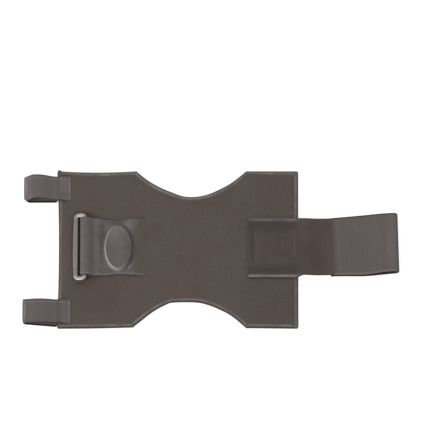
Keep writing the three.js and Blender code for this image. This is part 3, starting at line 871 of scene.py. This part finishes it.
# Ring tab. 60 mm woven webbing folded round the ring's bar, sewn across behind it, drawn over the pad
# and sewn down on the panel beyond it, where its end is pressed flat.
TAB_WIDTH = 61 * MM
TAB_THICKNESS = 1.5 * MM
TAB_LOWER_END = -111 * MM
TAB_VALLEY_X = -114 * MM  # where the upper layer comes down on the lower one
TAB_PANEL_X = -105 * MM  # where it comes down to the panel
TAB_SEWN_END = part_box("ring_tab")[1].x
TAB_PULL_IN = 0.065  # share by which the pad draws its edges in
TAB_PULL_IN_REACH = 11 * MM
TAB_END_SHIFT = 1.2 * MM  # how far up its sewn end is drawn
TAB_LOW_Z = PANEL_TOP + SEWN_GAP + TAB_THICKNESS / 2
TAB_FOLD_RADIUS = RING_BAR[2] - TAB_LOW_Z
TAB_STEP = 0.7 * MM
TAB_SELVEDGE = 1.6 * MM
TAB_BEAD = 0.25 * MM
TAB_BEAD_STARTS = (TAB_VALLEY_X - 5 * MM, TAB_VALLEY_X)
TAB_END_PRESSED = 13 * MM  # the stretch over which its end thins out into the panel
TAB_THINNED = 0.95 * TAB_THICKNESS  # how much thinner it is there, and how far it sinks
TAB_SINK = SEWN_GAP + 0.2 * MM

# The oval that shows through the tab, and how the webbing lies over it
OVAL_X = PAD_X + 0.4 * MM  # the webbing is drawn to the right and down over the pad
OVAL_Y = PAD_Y - 0.6 * MM
OVAL_HALF_WIDTH = 14.6 * MM
OVAL_HALF_LENGTH = 25.4 * MM
OVAL_LIFT = 3.4 * MM
OVAL_PLATEAU = 0.84
OVAL_FOOT = 1.04
OVAL_RIM_HEIGHT = 1 * MM
OVAL_RIM_AT = 0.88
OVAL_RIM_WIDTH = 0.065
OVAL_DISH = 0.7 * MM  # how far the webbing sinks inside the rim

# Folds and creases of the upper layer: where each starts and ends, its half width and its height, in
# millimetres. A crease that goes down has a height below 0.
TAB_CREASES = [
    ((-64, 31.5), (-82, 21), 3, 1),
    ((-69, 23), (-80, 13), 1.8, -0.4),
    ((-66, -27), (-84, -23), 1.4, 0.4),
    ((-119, 4), (-119.5, -25), 0.9, -0.3),
    ((-111, 4), (-111, -24), 1.0, 0.2),
    ((-110, -26), (-101, -20), 1.2, 0.4),
    ((-88.5, 26), (-88, 17), 0.8, 0.4),
    ((-86, -2), (-86.5, -18), 1.5, -0.2),
]

# Painted shade beside the oval and in the creases, a painted highlight on the fold at the upper right, and
# small dark and pale marks
TAB_PATCHES = [
    (-95, 29, 17, 6, "#332B29", 0.34),
    (-108.5, 13, 7, 18, "#332B29", 0.26),
    (-78, 26, 14, 9, "#8E8583", 0.2),
    (-72, -7, 9, 22, "#332B29", 0.2),
    (-101, -24, 9, 4, "#332B29", 0.24),
    (-79.6, -12.6, 1.4, 3.2, "#241D1B", 0.45),
    (-81.6, -19.2, 1.5, 1.8, "#A39A97", 0.55),
    (-79.9, -17, 1.3, 1.8, "#A39A97", 0.35),
]

# A box of stitching beside the ring on the upper half, and a few loose stitches where the tab ends: where
# each run starts and ends, in millimetres
TAB_SEWING = [
    ((-106.5, 30), (-106.5, 26)),
    ((-115.5, 28.5), (-106.5, 28.5)),
    ((-115.5, 20), (-108, 20.4)),
    ((-116, 7.5), (-109, 7)),
    ((-70.5, -27.4), (-68.5, -27.4)),
    ((-82.4, -19.6), (-81, -18)),
]


def woven_webbing():
    """Plain woven webbing, faded: small squares of yarn, a painted highlight on the left and lower left of
    the oval's rim and painted shade on its right, and as dark as the panel where its end is pressed in."""
    material, tree = start_material(
        "woven_webbing", Roughness=0.8, IOR=1.48, Sheen_Weight=0.14, Sheen_Roughness=0.5)
    cloth = add_node(tree, "TexCoord", output="UV")
    place = add_node(tree, "TexCoord", output="Object")
    # Yarns 0.9 mm apart on the real webbing, drawn 1.2 mm apart to show
    yarns = {"Vector": cloth, "Scale": wave_scale(1.2 * MM), "Distortion": 0.5}
    warp = add_node(tree, "TexWave", yarns, output="Fac", bands_direction="Y")
    weft = add_node(tree, "TexWave", yarns, output="Fac", bands_direction="X")
    weave = add_node(tree, "Math", {0: warp, 1: weft}, operation="MULTIPLY")
    wear = add_node(tree, "TexNoise", {"Vector": place, "Scale": 1 / (8 * MM), "Detail": 4})
    tone = add_node(tree, "Math", {0: weave, 1: 0.35, 2: wear}, operation="MULTIPLY_ADD")
    shade = add_node(tree, "MapRange", {0: tone, 1: 0.35, 2: 1.0})
    woven = add_node(tree, "Mix", {0: shade, 6: "#5A514F", 7: "#675E5D"}, data_type="RGBA")
    # Painted highlight on the oval's rim on the left and lower left, and a painted highlight on the upper
    # part inside it
    oval = from_oval(tree, OVAL_X, OVAL_Y, OVAL_HALF_WIDTH, OVAL_HALF_LENGTH)
    oval_y = add_node(tree, "SeparateXYZ", {0: oval}, output="Y")
    share = add_node(tree, "VectorMath", {0: oval}, operation="LENGTH")
    leftward = add_node(tree, "VectorMath", {0: oval, 1: (-0.95, -0.3, 0)}, operation="DOT_PRODUCT")
    crest = near_to(tree, share, OVAL_RIM_AT + 0.02, 0.02, 0.09)
    lit_side = add_node(tree, "MapRange", {0: leftward, 1: -0.35, 2: 0.75})
    wear_and_highlight = add_node(tree, "Math", {0: crest, 1: lit_side}, operation="MULTIPLY")
    inside = add_node(tree, "MapRange", {0: share, 1: 0.9, 2: 0.84})
    upward = add_node(tree, "MapRange", {0: oval_y, 1: 0, 2: 0.85, 4: 0.22})
    upper = add_node(tree, "Math", {0: inside, 1: upward}, operation="MULTIPLY")
    pale = add_node(tree, "Math", {0: wear_and_highlight, 1: upper}, operation="MAXIMUM")
    # Painted shade on the right, inside the rim and in the crease at its foot
    rightward = add_node(tree, "MapRange", {0: leftward, 1: -0.1, 2: -0.75})
    inner_right = add_node(tree, "Math", {0: inside, 1: 0.4}, operation="MULTIPLY")
    crease = near_to(tree, share, 0.985, 0.02, 0.09, share=0.55)
    painted_shade = add_node(tree, "Math", {0: inner_right, 1: crease}, operation="MAXIMUM")
    painted_shade = add_node(tree, "Math", {0: painted_shade, 1: rightward}, operation="MULTIPLY")
    # The pressed end takes the panel's colour
    x = add_node(tree, "SeparateXYZ", {0: place}, output="X")
    pressed = add_node(tree, "MapRange", {0: x, 1: -82 * MM, 2: -70 * MM})
    # A painted highlight on top of its near selvedge, and painted shade on the sides of both
    across = add_node(tree, "SeparateXYZ", {0: cloth}, output="Y")
    near = near_to(tree, across, TAB_SELVEDGE - TAB_WIDTH / 2, 0.2 * MM, 1.1 * MM, share=0.4)
    out = add_node(tree, "Math", {0: across}, operation="ABSOLUTE")
    edge = TAB_WIDTH / 2 - TAB_THICKNESS / 2
    selvedge = add_node(tree, "MapRange", {0: out, 1: edge, 2: edge + 0.5 * MM})
    colour = layered(tree, woven, (pale, "#9E9593"), (painted_shade, "#2F2826"))
    colour = layered(tree, patched(tree, colour, TAB_PATCHES), (pressed, "#524844"), (near, "#857B78"),
                     (selvedge, "#2B2523"))
    bump = add_node(tree, "Bump", {"Height": weave, "Strength": 0.3, "Distance": 0.1 * MM})
    return feed_shader(material, Base_Color=colour, Normal=bump)


def tab_line():
    """The tab's centre line in X and Z, before the pad raises it."""
    bar_x, bar_z = RING_BAR[0], RING_BAR[2]
    valley = (TAB_VALLEY_X, TAB_LOW_Z + TAB_THICKNESS + SEWN_GAP)
    stretches = [
        [(TAB_LOWER_END, TAB_LOW_Z), (bar_x, TAB_LOW_Z)],
        arc((bar_x, bar_z), TAB_FOLD_RADIUS, -90, -270),
        level_step((bar_x, bar_z + TAB_FOLD_RADIUS), valley),
        level_step(valley, (TAB_PANEL_X, TAB_LOW_Z)),
        [(TAB_SEWN_END, TAB_LOW_Z)],
    ]
    return evenly(np.vstack(stretches), TAB_STEP)


def oval_lift(x, y):
    """How far the pad raises the webbing: a shallow dish, a ridge round it, nothing outside."""
    share = np.hypot((x - OVAL_X) / OVAL_HALF_WIDTH, (y - OVAL_Y) / OVAL_HALF_LENGTH)
    plateau = OVAL_LIFT * (1 - ramp(share, OVAL_PLATEAU, OVAL_FOOT))
    ridge = OVAL_RIM_HEIGHT * bell(share, OVAL_RIM_AT, OVAL_RIM_WIDTH)
    return plateau + ridge - OVAL_DISH * (1 - ramp(share, 0, OVAL_RIM_AT))


def creased(x, y, creases):
    """The height that a table of creases gives each place."""
    height = np.zeros(x.shape)
    for start, end, half_width, rise in creases:
        start = np.array(start) * MM
        run = np.array(end) * MM - start
        t = ((x - start[0]) * run[0] + (y - start[1]) * run[1]) / (run @ run)
        held = np.clip(t, 0, 1)
        gap = np.hypot(x - start[0] - held * run[0], y - start[1] - held * run[1])
        fade = np.sin(math.pi * (0.15 + 0.7 * held))
        height += rise * MM * fade * bell(gap, 0, half_width * MM)
    return height


tab_centre = tab_line()
TAB_LENGTH = distances(tab_centre)[-1]
OVER_BAR = TAB_LOWER_END - RING_BAR[0] + math.pi / 2 * TAB_FOLD_RADIUS  # half-way round the fold
tab_upper = tab_centre[distances(tab_centre) > OVER_BAR]


def tab_pressed(x):
    """How far the sewing has pressed the tab: from 0 to 1 towards its end."""
    return ramp(x, TAB_SEWN_END - TAB_END_PRESSED, TAB_SEWN_END - 1 * MM)


def tab_top(x, y):
    """The height of the tab's upper face."""
    middle = np.interp(x, tab_upper[:, 0], tab_upper[:, 1]) + oval_lift(x, y) + creased(x, y, TAB_CREASES)
    return middle + TAB_THICKNESS / 2 - (TAB_THINNED + TAB_SINK) * tab_pressed(x)


def make_tab():
    """The tab, with thick selvedges, its drape over the pad and its creases."""
    def relief(along, across, side):
        x = TAB_SEWN_END - (TAB_LENGTH - along)
        from_edge = TAB_WIDTH / 2 - np.abs(across)
        # No bead beside the fold, where the ring comes down when it is turned over
        bead = TAB_BEAD * ramp(x, *TAB_BEAD_STARTS)
        bead = bead * bell(from_edge, TAB_SELVEDGE / 2, BEAD_HALF_WIDTH)
        return bead * (side > UPPER_FACE) - TAB_THINNED * tab_pressed(x) * (side > UPPER_HALF)

    def place(x, y, z, along):
        drawn_in = 1 - TAB_PULL_IN * bell(x, PAD_X, TAB_PULL_IN_REACH)
        y = RING_BAR[1] + y * drawn_in + TAB_END_SHIFT * ramp(x, PAD_X, TAB_SEWN_END - 8 * MM)
        lift = oval_lift(x, y) + creased(x, y, TAB_CREASES) - TAB_SINK * tab_pressed(x)
        return x, y, z + lift * (along > OVER_BAR)

    piece = webbing("woven_ring_tab", tab_centre, TAB_WIDTH, TAB_THICKNESS, relief, place,
                    woven_webbing())
    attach(piece, "support")
    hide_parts("ring_tab")


make_tab()
tab_runs = [row(np.array(start) * MM, np.array(end) * MM, tab_top) for start, end in TAB_SEWING]
tab_stitches = sew("ring_tab_stitches", tab_runs, pitch=4 * MM, stitch=3.4 * MM, thread=0.5 * MM,
                   material=polyester_thread("tab_thread", "#7A716E", "#625957"))
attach(tab_stitches, "support")


# Strap. Dark brushed-pile strap sewn flat on the right wing, its edges turned up into two ridges there,
# with a box of stitching between them. It drops over the panel's edge to the table.
strap_low, strap_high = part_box("strap")
STRAP_THICKNESS = 2 * MM
STRAP_START = strap_low.x
STRAP_END = strap_high.x
STRAP_UPPER_EDGE = 32.4 * MM
STRAP_SEWN_LOWER_EDGE = -31 * MM
STRAP_FREE_LOWER_EDGE = -27.5 * MM
STRAP_WIDTH = STRAP_UPPER_EDGE - STRAP_SEWN_LOWER_EDGE  # where it is sewn
STRAP_NARROWS = (84 * MM, 93 * MM)
STRAP_TURN = 1.3  # degrees by which the free part swings up
STRAP_LANDS_X = 112 * MM
STRAP_STEP = 0.7 * MM
STRAP_SEWN_Z = PANEL_TOP + SEWN_GAP + STRAP_THICKNESS / 2
END_THICKNESS = 1.3 * MM  # of the elastic that ends it, which lies above and below it
STRAP_LANDED_Z = END_THICKNESS + SEWN_GAP + STRAP_THICKNESS / 2
RIDGE_HEIGHT = 1.0 * MM
RIDGE_HALF_WIDTH = 1.3 * MM
RIDGE_IN = 1.6 * MM  # how far in from the edge it runs
RIDGE_FADES = (85 * MM, 90 * MM)

# Wrinkles of the sewn part and creases of the free part, as in the tab's table
STRAP_CREASES = [
    ((42, 25), (82, 26), 3.2, -0.5),
    ((50, -19), (82, -18), 3.4, -0.35),
    ((50, -25), (60, -22.5), 0.8, -0.5),
    ((58, -22), (65, -25), 0.8, -0.45),
    ((66, -23), (67, -17), 0.8, -0.4),
    ((66, 13), (65.5, -12), 1.8, -0.3),
    ((41.5, 22), (40.8, -16), 1.6, -0.8),
    ((45.5, 18.5), (47, 17), 1, -0.6),
    ((70.5, 18.5), (72, 17), 1, -0.6),
    ((102.5, -20), (103, -9), 0.9, -0.35),
    ((96, 27), (101, 28.5), 1.6, 0.35),
]

# Painted shade along the sewing, in the corners of its box and in a wrinkle, a darker patch on the free
# part, painted shadow beside the elastic, and a pale line where it leaves the panel
STRAP_PATCHES = [
    (42, 2, 2.8, 28, "#241C1A", 0.5),
    (67.5, 8, 3.2, 15, "#241C1A", 0.2),
    (47.3, 17.4, 2, 1.8, "#1C1513", 0.6),
    (72.3, 17.4, 2, 1.8, "#1C1513", 0.6),
    (100, -12, 30, 30, "#2E2321", 0.2),
    (64, -22, 12, 3, "#241C1A", 0.25),
    (83.8, 4, 1.4, 26, "#7A6C69", 0.16),
    (113, 24, 10, 8, "#241C1A", 0.22),
]


def brushed_pile():
    """Brushed loop pile: a dark, dry nap that scatters light softly, with tufts lying in streaks."""
    material, tree = start_material(
        "brushed_pile", Roughness=0.95, IOR=1.45, Sheen_Weight=0.12, Sheen_Roughness=0.7)
    cloth = add_node(tree, "TexCoord", output="UV")
    place = add_node(tree, "TexCoord", output="Object")
    # Tufts 0.6 mm apart on the real nap, drawn 1.1 mm apart to show
    tufts = add_node(tree, "TexNoise", {"Vector": place, "Scale": 1 / (1.1 * MM), "Detail": 3})
    brushed = add_node(tree, "TexNoise", {"Vector": place, "Scale": 1 / (14 * MM), "Detail": 3})
    tone = add_node(tree, "Math", {0: tufts, 1: 0.6, 2: brushed}, operation="MULTIPLY_ADD")
    shade = add_node(tree, "MapRange", {0: tone, 1: 0.5, 2: 1.1})
    nap = add_node(tree, "Mix", {0: shade, 6: "#453835", 7: "#534542"}, data_type="RGBA")
    # Painted shade in the dips beside the ridges, where the pile is sewn down
    along = add_node(tree, "SeparateXYZ", {0: cloth}, output="X")
    across = add_node(tree, "SeparateXYZ", {0: cloth}, output="Y")
    out = add_node(tree, "Math", {0: across}, operation="ABSOLUTE")
    from_edge = add_node(tree, "Math", {0: STRAP_WIDTH / 2, 1: out}, operation="SUBTRACT")
    sewn = add_node(tree, "MapRange", {0: along, 1: 46 * MM, 2: 52 * MM, 3: 1, 4: 0})
    near = add_node(tree, "MapRange", {0: from_edge, 1: 2 * MM, 2: 4.5 * MM})
    far = add_node(tree, "MapRange", {0: from_edge, 1: 10 * MM, 2: 16 * MM, 3: 0.56, 4: 0.12})
    pressed = add_node(tree, "Math", {0: near, 1: far}, operation="MULTIPLY")
    pressed = add_node(tree, "Math", {0: pressed, 1: sewn}, operation="MULTIPLY")
    # Painted highlight along the crests of the ridges, stronger on the near one, and more slowly less so
    # down their inner sides
    outer = add_node(tree, "MapRange", {0: from_edge, 1: RIDGE_IN - 1.6 * MM, 2: RIDGE_IN - 0.3 * MM})
    inner = add_node(tree, "MapRange", {0: from_edge, 1: RIDGE_IN + 3 * MM, 2: RIDGE_IN + 0.3 * MM})
    near_side = add_node(tree, "MapRange", {0: across, 1: 20 * MM, 2: -20 * MM, 3: 0.5, 4: 1})
    patchy = add_node(tree, "MapRange", {0: brushed, 1: 0.35, 2: 0.62, 3: 0.55, 4: 1})
    wear_and_highlight = sewn
    for share in (outer, inner, near_side, patchy):
        wear_and_highlight = add_node(tree, "Math", {0: wear_and_highlight, 1: share}, operation="MULTIPLY")
    # Painted shade on its cut edges
    cut = add_node(tree, "MapRange", {0: from_edge, 1: 0.5 * MM, 2: 1 * MM, 3: 0.9, 4: 0})
    colour = layered(tree, patched(tree, nap, STRAP_PATCHES), (pressed, "#2E2522"), (wear_and_highlight, "#867B78"),
                     (cut, "#1F1917"))
    bump = add_node(tree, "Bump", {"Height": tufts, "Strength": 0.5, "Distance": 0.2 * MM})
    return feed_shader(material, Base_Color=colour, Normal=bump)


def make_strap():
    """The strap, wider where it is sewn, with its ridges, wrinkles and dipped stitching. Its centre line
    runs along the panel, then down to the table."""
    leaves = (PANEL_RIGHT + 1 * MM, STRAP_SEWN_Z)
    lands = (STRAP_LANDS_X, STRAP_LANDED_Z)
    stretches = [
        [(STRAP_START, STRAP_SEWN_Z), leaves],
        level_step(leaves, lands),
        [(STRAP_END, STRAP_LANDED_Z)],
    ]
    line = evenly(np.vstack(stretches), STRAP_STEP)

    def relief(along, across, side):
        from_edge = STRAP_WIDTH / 2 - np.abs(across)
        ridge = RIDGE_HEIGHT * bell(from_edge, RIDGE_IN, RIDGE_HALF_WIDTH)
        return ridge * (1 - ramp(STRAP_START + along, *RIDGE_FADES)) * (side > UPPER_FACE)

    def place(x, y, z, along):
        swing = np.maximum(x - PANEL_RIGHT, 0) * math.tan(math.radians(STRAP_TURN))
        lower = STRAP_SEWN_LOWER_EDGE
        lower = lower + (STRAP_FREE_LOWER_EDGE - lower) * ramp(x, *STRAP_NARROWS)
        y = lower + (STRAP_UPPER_EDGE - lower) * (y / STRAP_WIDTH + 0.5)
        return x, y + swing, z + creased(x, y, STRAP_CREASES)

    piece = webbing("pile_strap", line, STRAP_WIDTH, STRAP_THICKNESS, relief, place, brushed_pile())
    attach(piece, "support")
    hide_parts("strap")


make_strap()


# Strap end. 60 mm cross-ribbed elastic folded double into a pull loop; its two ends lie above and below
# the strap's end and are sewn through it.
END_WIDTH = 62.4 * MM
END_SEWN_WIDTH = 60 * MM  # drawn in where it is sewn
END_SPREAD = 35 * MM  # how far from there it takes to reach its full width
END_START = (121.65 * MM, 2.9 * MM)  # the middle of its sewn end
END_LENGTH = 66 * MM
END_FOLD_RADIUS = 4 * MM
END_FLAT = 21 * MM  # the stretch that is sewn over the strap
END_LOWER_REACH = 3 * MM  # how much further in its lower layer goes than the upper one
END_TURN = math.radians(2.6)
END_STEP = 0.4 * MM
END_RIB = 2 * MM
END_RIB_HEIGHT = 0.02 * MM
END_BEAD = 0.15 * MM
END_BEAD_IN = 1 * MM
END_PLAIN = (2 * MM, 10 * MM)  # how far before the fold the ribs are gone, and where they start to fade
END_THINNED = 0.92 * END_THICKNESS  # how much the sewing thins its end
END_THINS_OVER = 9 * MM
END_SINK = 0.9 * SEWN_GAP  # how far the sewing draws its end down
END_SINKS_OVER = 6 * MM
END_SHEAR = 0.018  # share of its width by which its far edge is drawn out beyond its near one
END_NEAR_PULL = 0.035  # share by which its near edge is drawn in towards the fold
END_NEAR_PULLED = (28 * MM, 60 * MM)
END_LOWER_SLIP = 0.5 * MM  # how far its lower layer shows below the upper one beside the strap
END_SLIPS_OVER = 25 * MM
# A greyer painted highlight at the fold, a darker patch and a small dark mark
END_PATCHES = [
    (184, 8, 13, 44, "#726E72", 0.3),
    (150, -12, 26, 24, "#413734", 0.12),
    (172.5, -19, 2, 3, "#2E2523", 0.25),
]


def cross_ribbed_elastic():
    """Wide knitted elastic: soft ribs across it, painted highlights in streaks where they catch the light,
    and greyer at the fold as a painted highlight.
    """
    material, tree = start_material(
        "cross_ribbed_elastic", Roughness=0.8, IOR=1.48, Sheen_Weight=0.14, Sheen_Roughness=0.5)
    cloth = add_node(tree, "TexCoord", output="UV")
    along = add_node(tree, "SeparateXYZ", {0: cloth}, output="X")
    across = add_node(tree, "SeparateXYZ", {0: cloth}, output="Y")
    uneven = {"Distortion": 1.2, "Detail Scale": 0.4}
    ribs = add_node(tree, "TexWave", {"Vector": cloth, "Scale": wave_scale(END_RIB), **uneven},
                    output="Fac", bands_direction="X")
    streak = add_node(tree, "Mapping", {"Vector": cloth, "Scale": (1 / (1.8 * MM), 1 / (14 * MM), 1)})
    streaks = add_node(tree, "TexNoise", {"Vector": streak, "Scale": 1, "Detail": 3})
    tone = add_node(tree, "Math", {0: ribs, 1: 0.06, 2: streaks}, operation="MULTIPLY_ADD")
    shade = add_node(tree, "MapRange", {0: tone, 1: 0.3, 2: 0.85})
    knitted = add_node(tree, "Mix", {0: shade, 6: "#5A514F", 7: "#625957"}, data_type="RGBA")
    # Painted highlights in a few pale streaks
    streak_highlights = add_node(tree, "MapRange", {0: streaks, 1: 0.65, 2: 0.75, 4: 0.25})
    # Pile from the strap clings to its sewn end
    nap = add_node(tree, "TexNoise", {"Vector": cloth, "Scale": 1 / (7 * MM), "Detail": 3})
    reach = add_node(tree, "Math", {0: nap, 1: -8 * MM, 2: along}, operation="MULTIPLY_ADD")
    napped = add_node(tree, "MapRange", {0: reach, 1: -5 * MM, 2: 2.5 * MM, 3: 1, 4: 0})
    # A painted highlight on the near selvedge, and painted shade on the selvedges that reaches further in
    # on the far one
    edge = END_WIDTH / 2 - END_THICKNESS / 2
    near = near_to(tree, across, 0.3 * MM - edge, 0.4 * MM, 1.4 * MM, share=0.24)
    shifted = add_node(tree, "Math", {0: across, 1: 0.9 * MM}, operation="ADD")
    out = add_node(tree, "Math", {0: shifted}, operation="ABSOLUTE")
    # Painted shade at the fold too, and reaching further in on the layer that lies on the table
    lying = add_node(tree, "MapRange", {0: along, 1: 70 * MM, 2: 76 * MM})
    widened = add_node(tree, "Math", {0: lying, 1: 2.4 * MM, 2: out}, operation="MULTIPLY_ADD")
    selvedge = add_node(tree, "MapRange", {0: widened, 1: edge, 2: edge + 0.4 * MM, 4: 0.9})
    folded = add_node(tree, "MapRange", {0: along, 1: 63.9 * MM, 2: 65.6 * MM, 4: 0.85})
    dark = add_node(tree, "Math", {0: selvedge, 1: folded}, operation="MAXIMUM")
    colour = layered(tree, patched(tree, knitted, END_PATCHES), (streak_highlights, "#8B807D"), (napped, "#4C413E"),
                     (near, "#8B827F"), (dark, "#1C1716"))
    # Knitted loops 0.5 mm apart on the real elastic, drawn 0.9 mm apart to show
    knit = add_node(tree, "TexWave", {"Vector": cloth, "Scale": wave_scale(0.9 * MM)},
                    output="Fac", bands_direction="Y")
    bump = add_node(tree, "Bump", {"Height": knit, "Strength": 0.4, "Distance": 0.08 * MM})
    return feed_shader(material, Base_Color=colour, Normal=bump)


def end_line():
    """The elastic's centre line from its upper end round the fold to its lower end."""
    low = END_THICKNESS / 2
    high = END_THICKNESS + STRAP_THICKNESS + 2 * SEWN_GAP + END_THICKNESS / 2
    centre = (END_LENGTH - END_THICKNESS / 2 - END_FOLD_RADIUS, low + END_FOLD_RADIUS)
    stretches = [
        [(0, high), (END_FLAT, high)],
        level_step((END_FLAT, high), (centre[0], low + 2 * END_FOLD_RADIUS)),
        arc(centre, END_FOLD_RADIUS, 90, -90),
        [(-END_LOWER_REACH, low)],
    ]
    return evenly(np.vstack(stretches), END_STEP)


def make_strap_end():
    """The doubled elastic with its ribs, its upper end thinned where it is sewn down."""
    line = end_line()
    fold = distances(line)[-1] / 2

    def relief(along, across, side):
        from_edge = END_WIDTH / 2 - np.abs(across)
        ribs = END_RIB_HEIGHT * np.cos(2 * math.pi * along / END_RIB)
        bead = END_BEAD * bell(from_edge, END_BEAD_IN, BEAD_HALF_WIDTH)
        before_fold = ramp(fold - along, *END_PLAIN)
        thinned = END_THINNED * (1 - ramp(along, 0, END_THINS_OVER))
        return (ribs + bead) * before_fold * (side > UPPER_FACE) - thinned * (side > UPPER_HALF)

    def place(x, y, z, along):
        y = y * (1 + (END_SEWN_WIDTH / END_WIDTH - 1) * (1 - ramp(x, 0, END_SPREAD)))
        x = x + END_SHEAR * y * ramp(x, 0, END_LENGTH)
        y = y * (1 - END_NEAR_PULL * ramp(x, *END_NEAR_PULLED) * (y < 0))
        y = y - END_LOWER_SLIP * ramp(along, fold, fold + END_SLIPS_OVER)
        z = z - END_SINK * (1 - ramp(along, 0, END_SINKS_OVER))
        return (END_START[0] + x * math.cos(END_TURN) - y * math.sin(END_TURN),
                END_START[1] + x * math.sin(END_TURN) + y * math.cos(END_TURN), z)

    piece = webbing("elastic_strap_end", line, END_WIDTH, END_THICKNESS, relief, place,
                    cross_ribbed_elastic(), columns=40)
    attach(piece, "support")
    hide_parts("strap_loop")


make_strap_end()


# Table, light and camera. A wide light table, a soft light from the left and a pale surround, seen
# from 19 degrees off the vertical with a very long lens.
TABLE_HALF = 6
SURROUND_STRENGTH = 0.65
LIGHT_PLACE = (-1.15, -0.55, 1.2)
LIGHT_SIZE = 0.9
LIGHT_POWER = 14  # watts
CAMERA_ELEVATION = 71  # degrees
CAMERA_LENS = 1200  # millimetres
CAMERA_SENSOR = 36  # millimetres
VIEW_WIDTH = 0.44  # what the square image takes in, at a millimetre a pixel
VIEW_CENTRE = np.array([9.25 * MM, 32.36 * MM, 0])


def opal_sheet():
    """Opal sheet lit from below: an even white that lets only a weak shadow show."""
    material, tree = start_material(
        "opal_sheet", Roughness=0.7, Emission_Color=(1, 1, 1, 1), Emission_Strength=0.82)
    place = add_node(tree, "TexCoord", output="Object")
    mottle = add_node(tree, "TexNoise", {"Vector": place, "Scale": 1 / (60 * MM)})
    colour = add_node(tree, "Mix", {0: mottle, 6: "#9B9B9B", 7: "#9F9F9F"}, data_type="RGBA")
    return feed_shader(material, Base_Color=colour)


table_corners = [(x * TABLE_HALF, y * TABLE_HALF, 0) for x, y in ((-1, -1), (1, -1), (1, 1), (-1, 1))]
table = make_piece("table", table_corners, [[0, 1, 2, 3]], opal_sheet())

world = bpy.data.worlds.new("pale_surround")
world.use_nodes = True
surround = world.node_tree.nodes["Background"]
surround.inputs["Color"].default_value = (1, 1, 1, 1)
surround.inputs["Strength"].default_value = SURROUND_STRENGTH
bpy.context.scene.world = world
bpy.context.scene.view_settings.view_transform = "Standard"

soft_light = bpy.data.lights.new("soft_light", "AREA")
soft_light.shape = "DISK"
soft_light.size = LIGHT_SIZE
soft_light.energy = LIGHT_POWER
light = bpy.data.objects.new("soft_light", soft_light)
light.location = LIGHT_PLACE
light.rotation_euler = (-light.location).to_track_quat("-Z", "Y").to_euler()
bpy.context.scene.collection.objects.link(light)

camera_data = bpy.data.cameras.new("camera")
camera_data.lens = CAMERA_LENS
camera_data.sensor_width = CAMERA_SENSOR
camera = bpy.data.objects.new("camera", camera_data)
tilt = math.radians(90 - CAMERA_ELEVATION)
camera.rotation_euler = (tilt, 0, 0)
camera_distance = VIEW_WIDTH * CAMERA_LENS / CAMERA_SENSOR
camera.location = VIEW_CENTRE + camera_distance * np.array([0, -math.sin(tilt), math.cos(tilt)])
bpy.context.scene.collection.objects.link(camera)
bpy.context.scene.camera = camera
